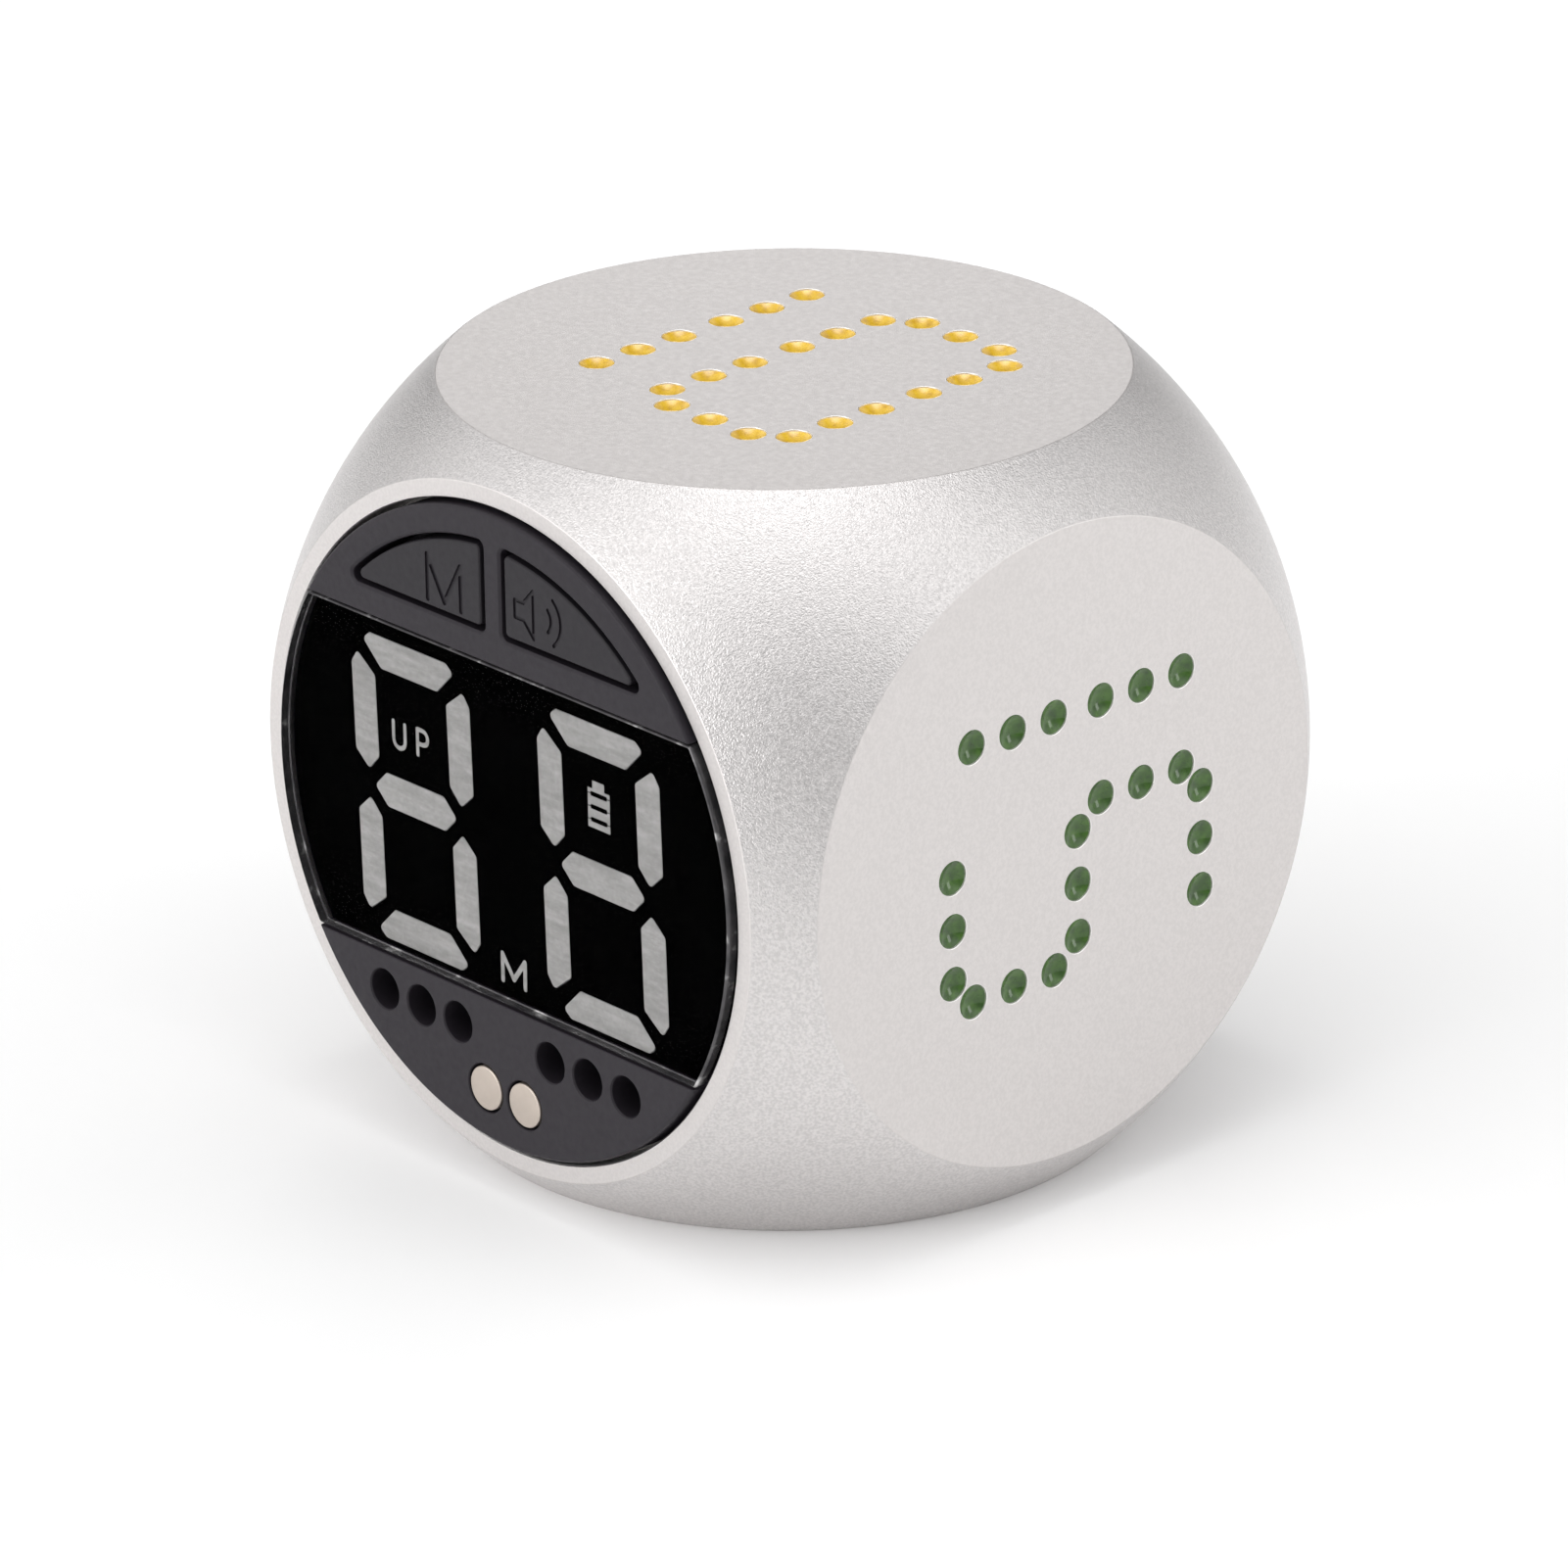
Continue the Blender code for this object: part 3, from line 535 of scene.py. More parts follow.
def fine_plastic(name, colour, rough=0.5, grain=0.35, scale=9000.0):
    """Spark-eroded mould texture: fine, even and matte."""
    m = Nodes(name)
    dark = tuple(c * 0.90 for c in colour[:3]) + (1.0,)
    light = tuple(min(1, c * 1.10) for c in colour[:3]) + (1.0,)
    m.link(m.ramp(m.noise(scale * 0.5, 4.0, 0.65), [(0.32, dark), (0.68, light)]), m.bsdf.inputs["Base Color"])
    m.link(m.range(m.noise(scale * 0.3, 3.0), rough - 0.05, rough + 0.07, 0.3, 0.7), m.bsdf.inputs["Roughness"])
    m.link(m.bump(m.noise(scale, 3.0, 0.6), 0.00001, grain), m.bsdf.inputs["Normal"])
    m.bsdf.inputs["Specular IOR Level"].default_value = 0.30
    return m.mat


PANEL_MAT = fine_plastic("panel_plastic", srgb(35, 31, 37), 0.52)
KEY_MAT = fine_plastic("key_plastic", srgb(31, 28, 33), 0.50)


def panel_piece():
    bm = bmesh.new()
    rim = [(PANEL_R - 0.16 + 0.16 * math.sin(a), 17.0 - 0.16 + 0.16 * math.cos(a))
           for a in [math.pi / 2 * i / 6 for i in range(7)]]
    lathe(bm, [(0, 17.0)] + rim + [(PANEL_R, 15.32), (PANEL_R - 0.12, 15.2), (0, 15.2)], FRONT, 256)
    panel = new_object("panel_moulding", bm, [PANEL_MAT])
    # band for the display cover, its front edges broken by a fine chamfer
    bm = bmesh.new()
    band = outward([(-18, BAND_BOTTOM), (18, BAND_BOTTOM), (18, BAND_TOP), (-18, BAND_TOP)])
    loft(bm, [(grow(band, 1.04, 90), 18.0), (grow(band, 0.0, 90), 16.96), (grow(band, 0.0, 90), -BRIDGE_Y)][::-1], FRONT)
    boolean(panel, tool_object(bm))
    bm = bmesh.new()
    win = outward([(-WINDOW_X + .5, WINDOW_BOTTOM + .5), (WINDOW_X - .5, WINDOW_BOTTOM + .5),
                   (WINDOW_X - .5, WINDOW_TOP - .5), (-WINDOW_X + .5, WINDOW_TOP - .5)])
    loft(bm, [(grow(win, 0.5), 14.5), (grow(win, 0.5), 16.5)], FRONT)
    boolean(panel, tool_object(bm))
    g = KEY_GROOVE / 2
    for side in (-1, 1):
        bm = bmesh.new()
        pts = outward(key_outline(KEY_R + g - 0.35, KEY_Z - g + 0.35, KEY_X - g + 0.35, side))
        loft(bm, [(grow(pts, 0.35), 14.5), (grow(pts, 0.35), 16.90), (grow(pts, 0.41), 16.965),
                  (grow(pts, 0.47), 17.0), (grow(pts, 1.3), 18.0)], FRONT)
        boolean(panel, tool_object(bm))
    bm = bmesh.new()
    for x in HOLE_X:
        for s in (-1, 1):
            lathe(bm, [(0, 18), (HOLE_R + 1.05, 18), (HOLE_R + 0.05, 17.0), (HOLE_R, 16.93), (HOLE_R, 14), (0, 14)],
                  front_at(s * x, HOLE_Z), 48)
    for s in (-1, 1):
        lathe(bm, [(0, 18), (PAD_R + 1.15, 18), (PAD_R + 0.15, 17.0), (PAD_R + 0.11, 16.95), (PAD_R + 0.11, 16.05),
                   (0.65, 16.05), (0.65, 14), (0, 14)], front_at(s * PAD_X, PAD_Z), 48)
    boolean(panel, tool_object(bm))
    for s in (-1, 1):
        bm = bmesh.new()
        lathe(bm, [(0, 15.6), (POST_R, 15.6), (POST_R, 11.25), (POST_R - 0.1, 11.15), (0.62, 11.15), (0.62, 14.2),
                   (0, 14.2)], front_at(s * POST_X, 0), 40)
        boolean(panel, tool_object(bm), "UNION")
    finish_shading(panel, 25.0)
    return panel


panel = panel_piece()
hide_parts("front_panel")
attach(panel, "case")


# --------------------------------------------------------------------- keys
def strokes_tool(strokes, half_width, y_low, y_high):
    bm = bmesh.new()
    for a, b in strokes:
        loft(bm, [(capsule(a, b, half_width), y_low), (capsule(a, b, half_width + 0.02), y_high)], FRONT)
    return tool_object(bm)


def poly(points):
    return list(zip(points, points[1:]))


def mode_mark():
    x0, x1, z0, z1 = -4.10, -2.00, 9.38, 11.35
    xm = (x0 + x1) / 2
    return poly([(x0, z0), (x0, z1), (xm, z0 + 0.10), (x1, z1), (x1, z0)])


def sound_mark():
    x, z = 1.95, 10.5
    box_and_cone = poly([(x - 0.55, z - 0.38), (x - 0.55, z + 0.38), (x, z + 0.38), (x + 0.6, z + 1.05),
                         (x + 0.6, z - 1.05), (x, z - 0.38), (x - 0.55, z - 0.38)])
    waves = []
    for r, half in ((0.70, 44), (1.30, 50)):
        pts = [(2.95 + r * math.cos(t), z + r * math.sin(t)) for t in
               [math.radians(-half + half * i / 4) for i in range(9)]]
        waves += poly(pts)
    return box_and_cone + waves


g = KEY_GROOVE / 2
for tag, side, mark in (("mode", -1, mode_mark()), ("sound", 1, sound_mark())):
    bm = bmesh.new()
    pts = outward(key_outline(KEY_R - g - 0.25, KEY_Z + g + 0.25, KEY_X + g + 0.25, side))
    loft(bm, [(grow(pts, 0.25), 14.45), (grow(pts, 0.25), 16.83), (grow(pts, 0.232), 16.905), (grow(pts, 0.185), 16.955),
              (grow(pts, 0.12), 16.97)], FRONT)
    key = new_object(tag + "_key_moulding", bm, [KEY_MAT])
    bm = bmesh.new()
    fl = outward(key_outline(13.2, 8.35, 0.3, side))
    loft(bm, [(grow(fl, 0.0), 14.40), (grow(fl, 0.0), 14.93)], FRONT)
    boolean(key, tool_object(bm), "UNION")
    bm = bmesh.new()
    lathe(bm, [(0, 14.7), (0.8, 14.7), (0.8, 14.25), (0.75, 14.2), (0, 14.2)], front_at(side * SWITCH_X, SWITCH_Z), 32)
    boolean(key, tool_object(bm), "UNION")
    boolean(key, strokes_tool(mark, 0.115 if tag == "mode" else 0.08, 16.885, 17.2), "DIFFERENCE", True)
    finish_shading(key, 25.0)
    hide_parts(tag + "_key")
    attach(key, tag + "_key_cap")


# ------------------------------------------------------------ display stack
def band_outline(r, z0, z1, n=28):
    a0, a1 = math.asin(z0 / r), math.asin(z1 / r)
    right = arc(r, a0, a1, n)
    return right + [(-x, z) for x, z in reversed(right)]


DIGIT_LEAN = 0.03     # the digits stand a little aslant in the photo
UPRIGHT_TRIM = 0.83   # and their upright bars show narrower than their level ones
LEVEL_SHIFT = {"a": -0.22, "g": -0.15, "d": -0.10}


def shown(tag, pts):
    if tag in LEVEL_SHIFT:
        return [(x + LEVEL_SHIFT[tag], z) for x, z in pts]
    left = min(x for x, z in pts)
    return [(left + (x - left) * UPRIGHT_TRIM, z) for x, z in pts]


def seven_segments():
    b = SEG_H
    top = [(-2.92, b - 0.45), (-2.45, b - 0.08), (2.45, b - 0.08), (2.92, b - 0.45), (1.8, b - 1.55), (-1.8, b - 1.55)]
    mid = [(-2.65, 0.0), (-1.85, 0.78), (1.85, 0.78), (2.65, 0.0), (1.85, -0.78), (-1.85, -0.78)]
    up_left = [(-3.45, b - 1.1), (-3.95, b - 1.7), (-3.95, 1.35), (-2.95, 0.6), (-2.1, 1.35), (-2.1, b - 1.95)]
    return {
        "a": top, "d": [(x, -z) for x, z in reversed(top)], "g": mid, "f": up_left,
        "b": [(-x, z) for x, z in reversed(up_left)], "e": [(x, -z) for x, z in reversed(up_left)],
        "c": [(-x, -z) for x, z in up_left],
    }


def shrink(points, d):
    n = len(points)
    pts = outward(points)
    out = []
    for i in range(n):
        p, q, s = Vector(pts[i - 1]), Vector(pts[i]), Vector(pts[(i + 1) % n])
        e0, e1 = (q - p).normalized(), (s - q).normalized()
        n0, n1 = Vector((e0.y, -e0.x)), Vector((e1.y, -e1.x))
        bis = (n0 + n1).normalized()
        out.append(tuple(q - bis * (d / max(0.3, bis.dot(n0)))))
    return out


# cover: clear moulded plastic, thin enough in look that the film behind stays black
lens_nodes = Nodes("cover_clear")
lens_nodes.set(Base_Color=(0.97, 0.97, 0.97, 1.0), IOR=1.02, Transmission_Weight=1.0, Specular_IOR_Level=0.2)
lens_nodes.link(lens_nodes.range(lens_nodes.noise(1500.0, 3.0), 0.01, 0.03, 0.3, 0.7),
                lens_nodes.bsdf.inputs["Roughness"])
lens_nodes.link(lens_nodes.bump(lens_nodes.noise(700.0, 2.0), 0.000003, 0.15), lens_nodes.bsdf.inputs["Normal"])
LENS_MAT = lens_nodes.mat

# its polished chamfers and rim are painted an opaque dark grey, with bright noise spots painted on as glints
cover_glint_nodes = Nodes("cover_edge_painted_glint")
painted_glint_noise = cover_glint_nodes.noise(950.0, 3.0, 0.55)
# the last, bright ramp stop is the painted glint
cover_glint_nodes.link(cover_glint_nodes.ramp(painted_glint_noise, [(0.30, (0.050, 0.048, 0.052, 1)), (0.60, (0.100, 0.097, 0.100, 1)), (0.73, (0.55, 0.54, 0.54, 1))]),
                cover_glint_nodes.bsdf.inputs["Base Color"])
cover_glint_nodes.link(cover_glint_nodes.range(painted_glint_noise, 0.12, 0.24, 0.3, 0.7), cover_glint_nodes.bsdf.inputs["Roughness"])
cover_glint_nodes.link(cover_glint_nodes.bump(painted_glint_noise, 0.00006, 0.7), cover_glint_nodes.bsdf.inputs["Normal"])
cover_glint_nodes.set(Metallic=0.55, Specular_IOR_Level=0.35)
COVER_EDGE_PAINTED_GLINT = cover_glint_nodes.mat

bm = bmesh.new()
pts = outward(band_outline(PANEL_R - 0.02 - 0.2, BAND_BOTTOM + 0.10 + 0.2, BAND_TOP - 0.10 - 0.2))
loft(bm, [(grow(pts, 0.15), 16.42), (grow(pts, 0.2), 16.47), (grow(pts, 0.2), 16.86), (grow(pts, 0.17), 16.92),
          (grow(pts, 0.11), 16.95)], FRONT)
lens = new_object("cover_window", bm, [LENS_MAT, COVER_EDGE_PAINTED_GLINT])
for p in lens.data.polygons:
    p.material_index = 0 if abs(p.normal.y) > 0.95 else 1
finish_shading(lens, 25.0)
lens.visible_shadow = False
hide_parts("display_lens")
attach(lens, "case")

film = Nodes("film_black")
film.link(film.ramp(film.noise(1200.0, 3.0), [(0.3, (0.0003, 0.0003, 0.0003, 1)), (0.7, (0.0008, 0.0008, 0.0008, 1))]),
          film.bsdf.inputs["Base Color"])
film.link(film.range(film.noise(3000.0, 2.0), 0.5, 0.7, 0.3, 0.7), film.bsdf.inputs["Roughness"])
film.set(Specular_IOR_Level=0.0)
FILM_MAT = film.mat

bars = Nodes("bars_grey")
hatch = bars.noise(520.0, 4.0, 0.60, (1.0, 1.0, 5.0))
mottle = bars.noise(3800.0, 3.0, 0.6)
both = bars.new("ShaderNodeMath", operation="ADD")
bars.link(bars.range(hatch, 0.0, 0.7), both.inputs[0])
bars.link(bars.range(mottle, 0.0, 0.3), both.inputs[1])
bars.link(bars.ramp(both.outputs[0], [(0.36, srgb(116, 115, 114)), (0.5, srgb(127, 126, 125)), (0.66, srgb(140, 139, 138))]),
          bars.bsdf.inputs["Base Color"])
bars.link(bars.range(bars.noise(2600.0, 3.0), 0.5, 0.65, 0.3, 0.7), bars.bsdf.inputs["Roughness"])
bars.link(bars.bump(both.outputs[0], 0.00003, 0.4), bars.bsdf.inputs["Normal"])
bars.set(Specular_IOR_Level=0.2)
BAR_MAT = bars.mat


def letter_u(x0, x1, z0, z1):
    r = (x1 - x0) / 2
    cx = (x0 + x1) / 2
    bowl = [(cx + r * math.cos(t), z0 + r + r * math.sin(t)) for t in [math.pi + math.pi * i / 8 for i in range(9)]]
    return poly([(x0, z1)] + bowl + [(x1, z1)])


def letter_p(x0, x1, z0, z1):
    r = (z1 - z0) * 0.28
    cx = x1 - r
    cz = z1 - r
    bowl = [(cx + r * math.cos(t), cz + r * math.sin(t)) for t in [math.pi / 2 - math.pi * i / 8 for i in range(9)]]
    return poly([(x0, z0), (x0, z1)] + bowl + [(x0, cz - r)])


def letter_m(x0, x1, z0, z1):
    xm = (x0 + x1) / 2
    return poly([(x0, z0), (x0, z1), (xm, z0 + 0.18 * (z1 - z0)), (x1, z1), (x1, z0)])


UP_STROKES = letter_u(-7.37, -6.63, 1.64, 2.78) + letter_p(-5.82, -5.17, 1.72, 2.86)
M_STROKES = letter_m(-0.72, 0.70, -6.92, -5.72)


def battery_mark():
    """Blocks of a charge mark; the dark stripes between them hang on thin necks."""
    x0, x1, z0, z1 = 4.93, 6.31, 1.75, 3.50
    stripes = (2.12, 2.69, 3.26)
    half, neck, end = 0.10, 0.018, 0.20
    edges = [z0] + [v for z in stripes for v in (z - half, z + half)] + [z1]
    blocks = [(x0, x1, edges[2 * i], edges[2 * i + 1]) for i in range(4)]
    for z in stripes:
        for xa, xb in ((x0, x0 + end), (x1 - end, x1)):
            blocks += [(xa, xb, z - half - 0.05, z - neck), (xa, xb, z + neck, z + half + 0.05)]
    return blocks + [(5.22, 5.98, z1 - 0.1, 3.86)]


bm = bmesh.new()
mask_pts = outward(band_outline(PANEL_R - 0.20, BAND_BOTTOM + 0.16, BAND_TOP - 0.16))
loft(bm, [(mask_pts, 16.15), (mask_pts, 16.30)], FRONT)
mask = new_object("film_mask", bm, [FILM_MAT])
bm = bmesh.new()
plate = outward([(-10.55, -7.25), (10.55, -7.25), (10.55, 6.95), (-10.55, 6.95)])
loft(bm, [(grow(plate, 0.0, 90), 14.45), (grow(plate, 0.0, 90), 15.0)], FRONT)
bar_piece = new_object("light_bars", bm, [BAR_MAT])
cut, add = bmesh.new(), bmesh.new()
for dx in (-DIGIT_X, DIGIT_X):
    for tag, pts in seven_segments().items():
        here = [(x + dx - DIGIT_LEAN * z, z + DIGIT_Z) for x, z in shown(tag, pts)]
        core = outward(shrink(here, 0.22))
        loft(cut, [(grow(core, 0.24, 20), 15.5), (grow(core, 0.24, 20), 16.5)], FRONT)
        loft(add, [(grow(core, 0.21, 20), 14.9), (grow(core, 0.21, 20), 16.265), (grow(core, 0.185, 20), 16.288),
                   (grow(core, 0.15, 20), 16.295)], FRONT)
boolean(mask, tool_object(cut), "DIFFERENCE", True)
boolean(bar_piece, tool_object(add), "UNION", True)
cut, add = bmesh.new(), bmesh.new()
for x0, x1, z0, z1 in battery_mark():
    core = outward([(x0, z0), (x1, z0), (x1, z1), (x0, z1)])
    loft(cut, [(core, 15.5), (core, 16.5)], FRONT)
    core = outward([(x0 + .008, z0 - .004), (x1 - .008, z0 - .004), (x1 - .008, z1 + .004), (x0 + .008, z1 + .004)])
    loft(add, [(core, 14.9), (core, 16.29)], FRONT)
boolean(mask, tool_object(cut), "DIFFERENCE", True)
boolean(bar_piece, tool_object(add), "UNION", True)
boolean(mask, strokes_tool(UP_STROKES, 0.095, 15.5, 16.5), "DIFFERENCE", True)
for i, stroke in enumerate(M_STROKES):   # one at a time, neighbours a little different, which keeps the film closed
    boolean(mask, strokes_tool([stroke], 0.115 + 0.004 * (i % 2), 15.5, 16.5), "DIFFERENCE", True)
boolean(bar_piece, strokes_tool(UP_STROKES, 0.075, 14.9, 16.29), "UNION", True)
boolean(bar_piece, strokes_tool(M_STROKES, 0.095, 14.9, 16.29), "UNION", True)
finish_shading(mask, 25.0)
finish_shading(bar_piece, 25.0)
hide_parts("display_mask")
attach(mask, "case")
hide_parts("segment_diffuser")
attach(bar_piece, "case")

# ------------------------------------------------------------------ contacts
PAD_MAT = varied("contact_plating", srgb(193, 182, 172), 0.03, 0.45, 0.85, 1500.0, 6000.0, 0.000008)
for tag, s in (("left", -1), ("right", 1)):
    bm = bmesh.new()
    edge = [(PAD_R - 0.07 + 0.07 * math.sin(a), 17.0 - 0.07 + 0.07 * math.cos(a))
            for a in [math.pi / 2 * i / 4 for i in range(5)]]
    lathe(bm, [(0, 17.0)] + edge + [(PAD_R, 16.25), (0.48, 16.25), (0.48, 11.2), (0.40, 11.1), (0, 11.1)],
          front_at(s * PAD_X, PAD_Z), 64)
    pad = new_object("contact_pad_" + tag, bm, [PAD_MAT])
    finish_shading(pad, 30.0)
    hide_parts("contact_" + tag)
    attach(pad, "case")

# ----------------------------------------------- finishes of the inner pieces
def board_finish():
    m = Nodes("solder_mask")
    cells = m.voronoi(520.0)
    lines = m.new("ShaderNodeTexBrick")
    lines.inputs["Scale"].default_value = 1150.0
    lines.inputs["Mortar Size"].default_value = 0.11
    lines.inputs["Mortar Smooth"].default_value = 0.4
    lines.offset, lines.squash, lines.squash_frequency = 0.27, 1.9, 3
    lines.inputs["Color1"].default_value = (0.014, 0.125, 0.055, 1)
    lines.inputs["Color2"].default_value = (0.018, 0.15, 0.07, 1)
    lines.inputs["Mortar"].default_value = (0.021, 0.175, 0.082, 1)
    turn = m.new("ShaderNodeMapping")
    turn.inputs["Rotation"].default_value = (math.radians(90), 0, 0)
    m.link(m.coord.outputs["Object"], turn.inputs["Vector"])
    m.link(turn.outputs["Vector"], lines.inputs["Vector"])
    m.link(lines.outputs["Color"], m.bsdf.inputs["Base Color"])
    m.link(m.range(cells.outputs["Distance"], 0.25, 0.4), m.bsdf.inputs["Roughness"])
    m.link(m.bump(lines.outputs["Fac"], 0.00002, 0.5), m.bsdf.inputs["Normal"])
    return m.mat


def brushed(name, colour, rough, stretch):
    m = Nodes(name)
    streak = m.noise(900.0, 5.0, 0.6, stretch)
    dark = tuple(c * 0.86 for c in colour[:3]) + (1.0,)
    m.link(m.ramp(streak, [(0.3, dark), (0.7, colour)]), m.bsdf.inputs["Base Color"])
    m.link(m.range(streak, rough - 0.07, rough + 0.07, 0.3, 0.7), m.bsdf.inputs["Roughness"])
    m.link(m.bump(streak, 0.00001, 0.4), m.bsdf.inputs["Normal"])
    m.bsdf.inputs["Metallic"].default_value = 1.0
    return m.mat


def woven(name, colour):
    m = Nodes(name)
    waves = []
    for turn in ((0, 0, 0), (0, math.radians(90), 0)):
        mp = m.new("ShaderNodeMapping")
        mp.inputs["Rotation"].default_value = turn
        m.link(m.coord.outputs["Object"], mp.inputs["Vector"])
        w = m.new("ShaderNodeTexWave")
        w.inputs["Scale"].default_value = 1600.0
        m.link(mp.outputs["Vector"], w.inputs["Vector"])
        waves.append(w.outputs["Fac"])
    mul = m.new("ShaderNodeMath", operation="MULTIPLY")
    m.link(waves[0], mul.inputs[0])
    m.link(waves[1], mul.inputs[1])
    m.link(m.ramp(mul.outputs[0], [(0.0, tuple(c * 0.4 for c in colour[:3]) + (1,)), (0.8, colour)]),
           m.bsdf.inputs["Base Color"])
    m.link(m.bump(mul.outputs[0], 0.00004, 0.8), m.bsdf.inputs["Normal"])
    m.bsdf.inputs["Roughness"].default_value = 0.92
    m.bsdf.inputs["Specular IOR Level"].default_value = 0.1
    return m.mat


def wound(name):
    m = Nodes(name)
    w = m.new("ShaderNodeTexWave", bands_direction="Y")
    w.inputs["Scale"].default_value = 2600.0
    w.inputs["Distortion"].default_value = 0.4
    m.link(m.coord.outputs["Object"], w.inputs["Vector"])
    m.link(m.ramp(w.outputs["Fac"], [(0.0, (0.30, 0.11, 0.04, 1)), (0.6, (0.72, 0.34, 0.16, 1))]),
           m.bsdf.inputs["Base Color"])
    m.link(m.bump(w.outputs["Fac"], 0.00003, 0.8), m.bsdf.inputs["Normal"])
    m.bsdf.inputs["Metallic"].default_value = 1.0
    m.bsdf.inputs["Roughness"].default_value = 0.32
    return m.mat


WHITE = varied("white_moulding", srgb(226, 226, 221), 0.03, 0.5, 0.0, 1200.0, 5000.0, 0.00001)
STEEL = brushed("plated_steel", (0.62, 0.62, 0.61, 1), 0.3, (1.0, 8.0, 1.0))
CHIP = varied("moulded_epoxy", srgb(34, 34, 36), 0.14, 0.55, 0.0, 2500.0, 9000.0, 0.00001)
FINISHES = {
    "digit_reflector": WHITE, "battery_tray": WHITE, "battery_connector": WHITE,
    "mode_switch_plunger": WHITE, "sound_switch_plunger": WHITE,
    "main_board": board_finish(), "battery_board": board_finish(),
    "mcu_chip": CHIP, "motion_sensor": CHIP, "charge_chip": CHIP, "mode_switch_body": CHIP, "sound_switch_body": CHIP,
    "buzzer_case": varied("buzzer_plastic", srgb(26, 26, 27), 0.1, 0.38, 0.0, 1500.0, 6000.0, 0.00001),
    "buzzer_diaphragm": brushed("diaphragm_metal", (0.74, 0.6, 0.36, 1), 0.25, (1.0, 1.0, 6.0)),
    "buzzer_coil": wound("coil_winding"),
    "board_screw_left": STEEL, "board_screw_right": STEEL, "tray_screw_upper": STEEL, "tray_screw_lower": STEEL,
    "crystal": brushed("crystal_can", (0.75, 0.75, 0.74, 1), 0.24, (6.0, 1.0, 1.0)),
    "motor_can": brushed("motor_metal", (0.66, 0.66, 0.65, 1), 0.28, (8.0, 1.0, 1.0)),
    "motor_shaft": STEEL,
    "motor_weight": brushed("weight_metal", (0.42, 0.41, 0.40, 1), 0.42, (1.0, 5.0, 5.0)),
    "magnet_left": brushed("magnet_plating", (0.78, 0.77, 0.75, 1), 0.18, (1.0, 4.0, 1.0)),
    "magnet_right": brushed("magnet_plating_2", (0.78, 0.77, 0.75, 1), 0.18, (1.0, 4.0, 1.0)),
    "battery_cell": varied("cell_pouch", (0.62, 0.62, 0.64, 1), 0.05, 0.30, 1.0, 600.0, 1400.0, 0.00005),
    "battery_pad": varied("foam_pad", srgb(40, 40, 42), 0.3, 0.95, 0.0, 2600.0, 2600.0, 0.0002),
    "panel_seal": varied("seal_rubber", srgb(38, 38, 38), 0.12, 0.75, 0.0, 1500.0, 6000.0, 0.00001),
    "sound_mesh": woven("dust_cloth", (0.005, 0.005, 0.005, 1)),
    "battery_lead_red": varied("lead_red", srgb(178, 26, 24), 0.06, 0.42, 0.0, 900.0, 5000.0, 0.00001),
    "battery_lead_black": varied("lead_black", srgb(24, 24, 25), 0.1, 0.42, 0.0, 900.0, 5000.0, 0.00001),
}
LED_MAT = varied("led_package", srgb(238, 226, 170), 0.05, 0.25, 0.0, 3000.0, 8000.0, 0.00001)
SWAPPED = {"housing", "front_panel", "mode_key", "sound_key", "display_lens", "display_mask", "segment_diffuser",
           "contact_left", "contact_right"}
for node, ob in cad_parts.items():
    if node in SWAPPED:
        continue
    finish = LED_MAT if node.startswith("led_") else FINISHES[node]
    if ob.data.materials:
        for i in range(len(ob.data.materials)):
            ob.material_slots[i].material = finish
    else:
        ob.data.materials.append(finish)

# ------------------------------------------------------------- floor, lights
floor_nodes = Nodes("pale_floor")
floor_nodes.link(floor_nodes.ramp(floor_nodes.noise(60.0, 3.0), [(0.3, (0.945, 0.945, 0.945, 1)), (0.7, (0.955, 0.955, 0.955, 1))]),
                 floor_nodes.bsdf.inputs["Base Color"])
floor_nodes.bsdf.inputs["Roughness"].default_value = 0.9
floor_nodes.bsdf.inputs["Specular IOR Level"].default_value = 0.1
bm = bmesh.new()
bmesh.ops.create_grid(bm, x_segments=2, y_segments=2, size=3.0)
floor = new_object("floor", bm, [floor_nodes.mat], False)

world = bpy.data.worlds.new("studio")
bpy.context.scene.world = world
world.use_nodes = True
wt = world.node_tree
bg = wt.nodes["Background"]
tc = wt.nodes.new("ShaderNodeTexCoord")
sep = wt.nodes.new("ShaderNodeSeparateXYZ")
ramp = wt.nodes.new("ShaderNodeValToRGB")
wt.links.new(tc.outputs["Generated"], sep.inputs["Vector"])
wt.links.new(sep.outputs["Z"], ramp.inputs["Fac"])
# the room's brightness by the height of the direction, and on it wide soft patches, as of white cards
SKY = [(0.0, 0.0), (0.82, 0.02), (0.88, 0.08), (0.94, 0.24), (1.0, 2.45)]
CARDS = [(-72, 20, 40, 0.845), (48, 20, 40, 0.510), (108, 20, 40, 0.550), (168, 20, 40, 0.895), (-72, 48, 40, 0.324),
         (-12, 48, 40, 1.100), (48, 48, 40, 0.165), (108, 48, 40, 1.104), (-12, 0, 40, 4.10), (48, 72, 30, 0.770),
         (228, 72, 30, 0.340), (228, 20, 40, 0.130), (0, -90, 80, 0.300)]   # azimuth, height, half width in degrees, brightness
el = ramp.color_ramp.elements
el[0].position, el[0].color = SKY[0][0], (SKY[0][1], SKY[0][1], SKY[0][1], 1)
el[1].position, el[1].color = SKY[-1][0], (SKY[-1][1], SKY[-1][1], SKY[-1][1], 1)
for pos, v in SKY[1:-1]:
    e = el.new(pos)
    e.color = (v, v, v, 1)


def towards(az, height):
    a, e = math.radians(az), math.radians(height)
    return Vector((math.sin(a) * math.cos(e), -math.cos(a) * math.cos(e), math.sin(e)))


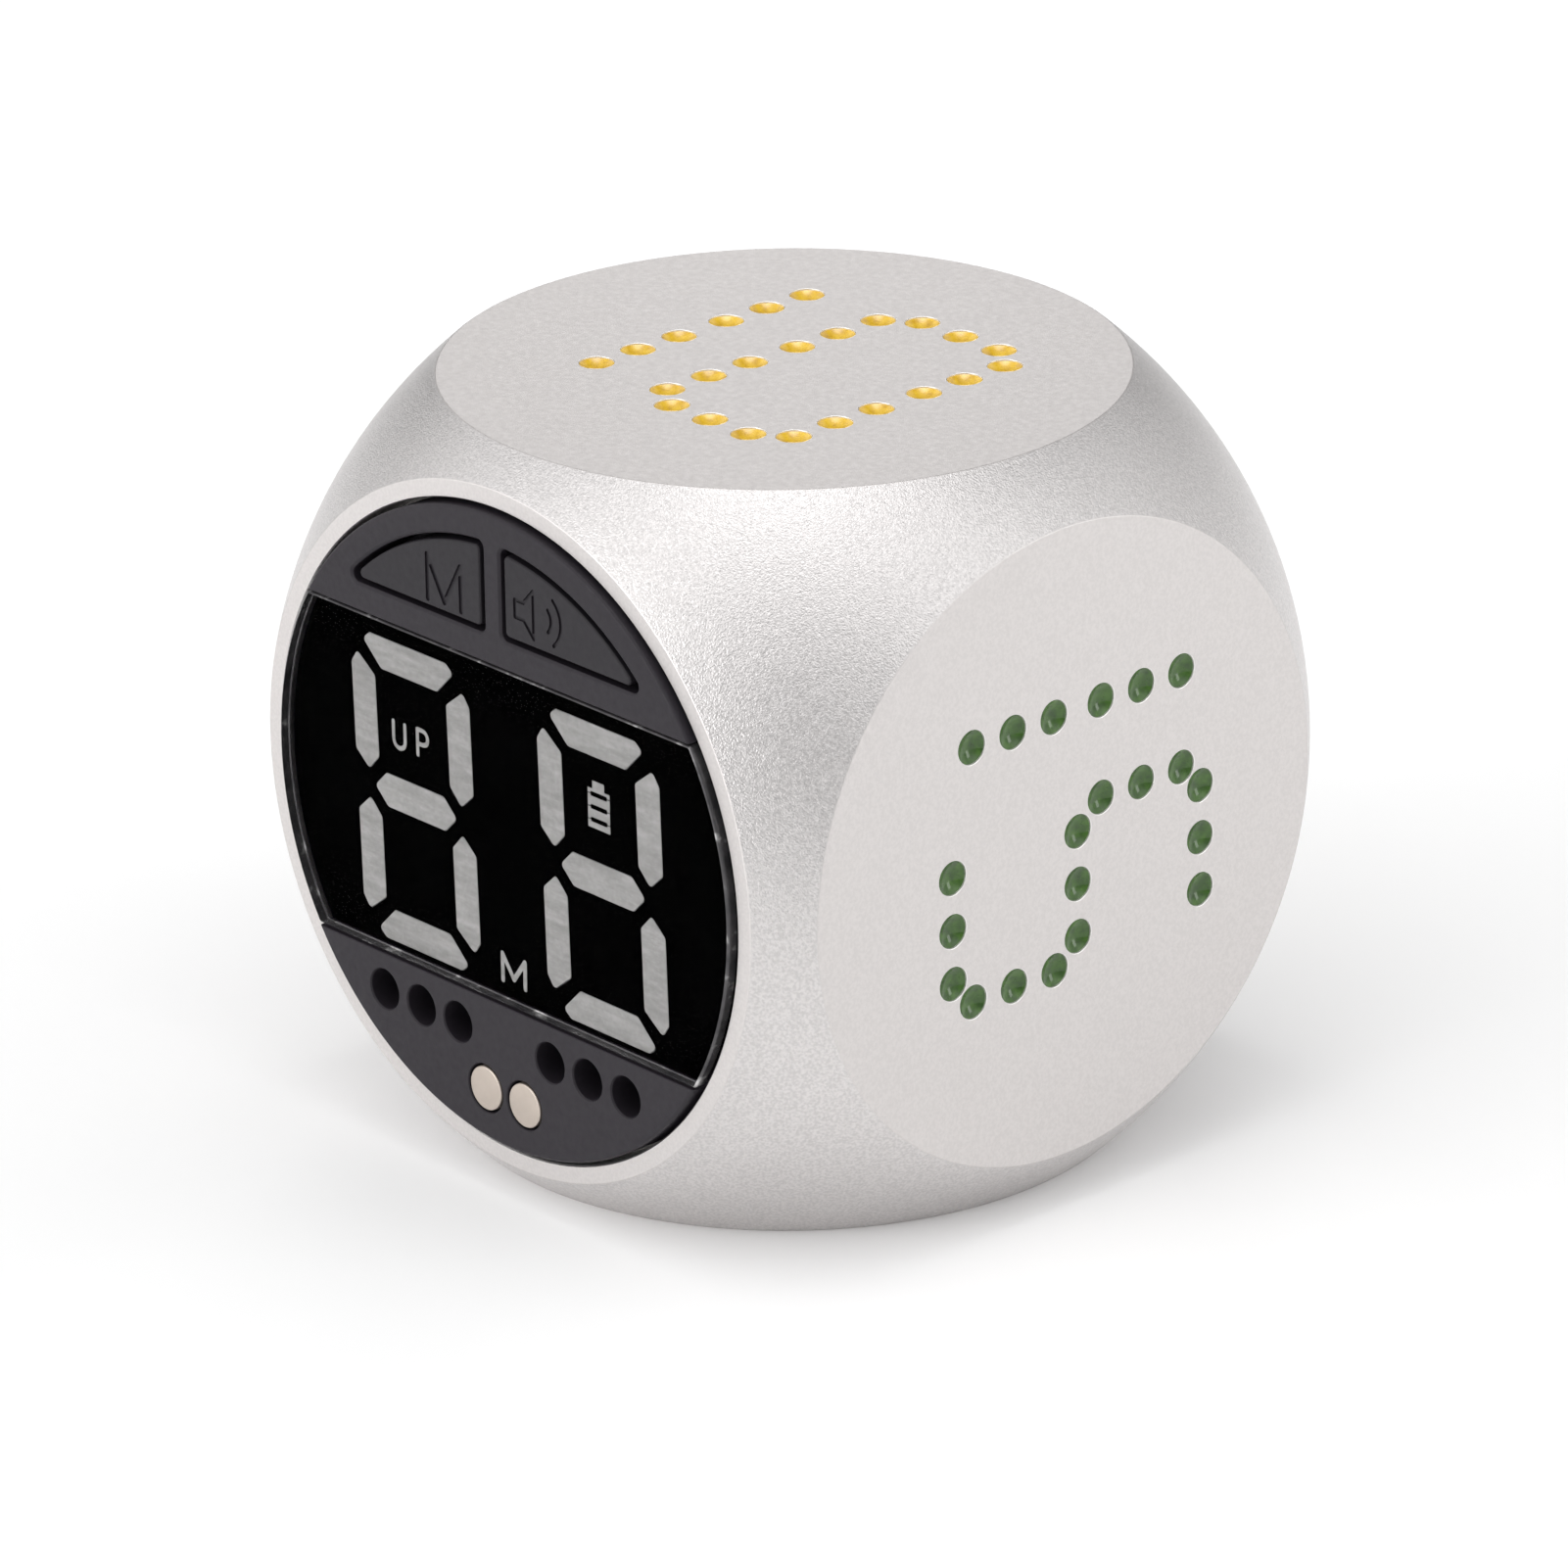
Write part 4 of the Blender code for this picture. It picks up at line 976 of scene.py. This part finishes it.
total = ramp.outputs["Color"]
for az, height, half, level in CARDS:
    dot = wt.nodes.new("ShaderNodeVectorMath")
    dot.operation = "DOT_PRODUCT"
    dot.inputs[1].default_value = towards(az, height)
    wt.links.new(tc.outputs["Generated"], dot.inputs[0])
    soft = wt.nodes.new("ShaderNodeMapRange")
    soft.interpolation_type = "SMOOTHSTEP"
    soft.inputs["From Min"].default_value = math.cos(math.radians(half))
    soft.inputs["From Max"].default_value = 1.0
    wt.links.new(dot.outputs["Value"], soft.inputs["Value"])
    add = wt.nodes.new("ShaderNodeMath")
    add.operation = "MULTIPLY_ADD"
    add.inputs[1].default_value = level
    wt.links.new(soft.outputs["Result"], add.inputs[0])
    wt.links.new(total, add.inputs[2])
    total = add.outputs["Value"]
wt.links.new(total, bg.inputs["Color"])
bg.inputs["Strength"].default_value = 1.0


def area(name, direction, distance, size, power, height=None):
    data = bpy.data.lights.new(name, "AREA")
    data.shape = "RECTANGLE" if height else "DISK"
    data.size = size
    if height:
        data.size_y = height
    data.energy = power
    ob = bpy.data.objects.new(name, data)
    d = Vector(direction).normalized()
    ob.location = Vector((0, 0, 0.0165)) + d * distance
    ob.rotation_euler = d.to_track_quat("Z", "Y").to_euler()
    bpy.context.scene.collection.objects.link(ob)
    return ob


area("behind", towards(228, 28), 0.6, 0.26, 0.300)
area("side_card", towards(127, 7), 0.6, 0.15, 0.376, 0.24)

# -------------------------------------------------------------------- camera
AZ, EL, ROLL, DIST, FOCAL, TX, TY = 47.96, 22.65, -0.84, 417.84, 10082.9, -0.23, -2.24
a, e = math.radians(AZ), math.radians(EL)
back = Vector((math.sin(a) * math.cos(e), -math.cos(a) * math.cos(e), math.sin(e)))
right = Vector((math.cos(a), math.sin(a), 0.0))
up = back.cross(right)
c, s = math.cos(math.radians(ROLL)), math.sin(math.radians(ROLL))
r2 = right * c + up * s
u2 = -right * s + up * c
cam_data = bpy.data.cameras.new("camera")
cam_data.sensor_fit = "HORIZONTAL"
cam_data.sensor_width = 36.0
cam_data.lens = FOCAL * 36.0 / 1601.0
cam_data.clip_start, cam_data.clip_end = 0.01, 20.0
cam = bpy.data.objects.new("camera", cam_data)
place = Matrix((r2, u2, back)).transposed().to_4x4()
place.translation = Vector((0, SPHERE_Y, ZC)) * MM + (back * DIST + r2 * TX + u2 * TY) * MM
cam.matrix_world = place
bpy.context.scene.collection.objects.link(cam)
bpy.context.scene.camera = cam
bpy.context.scene.view_settings.view_transform = "Standard"
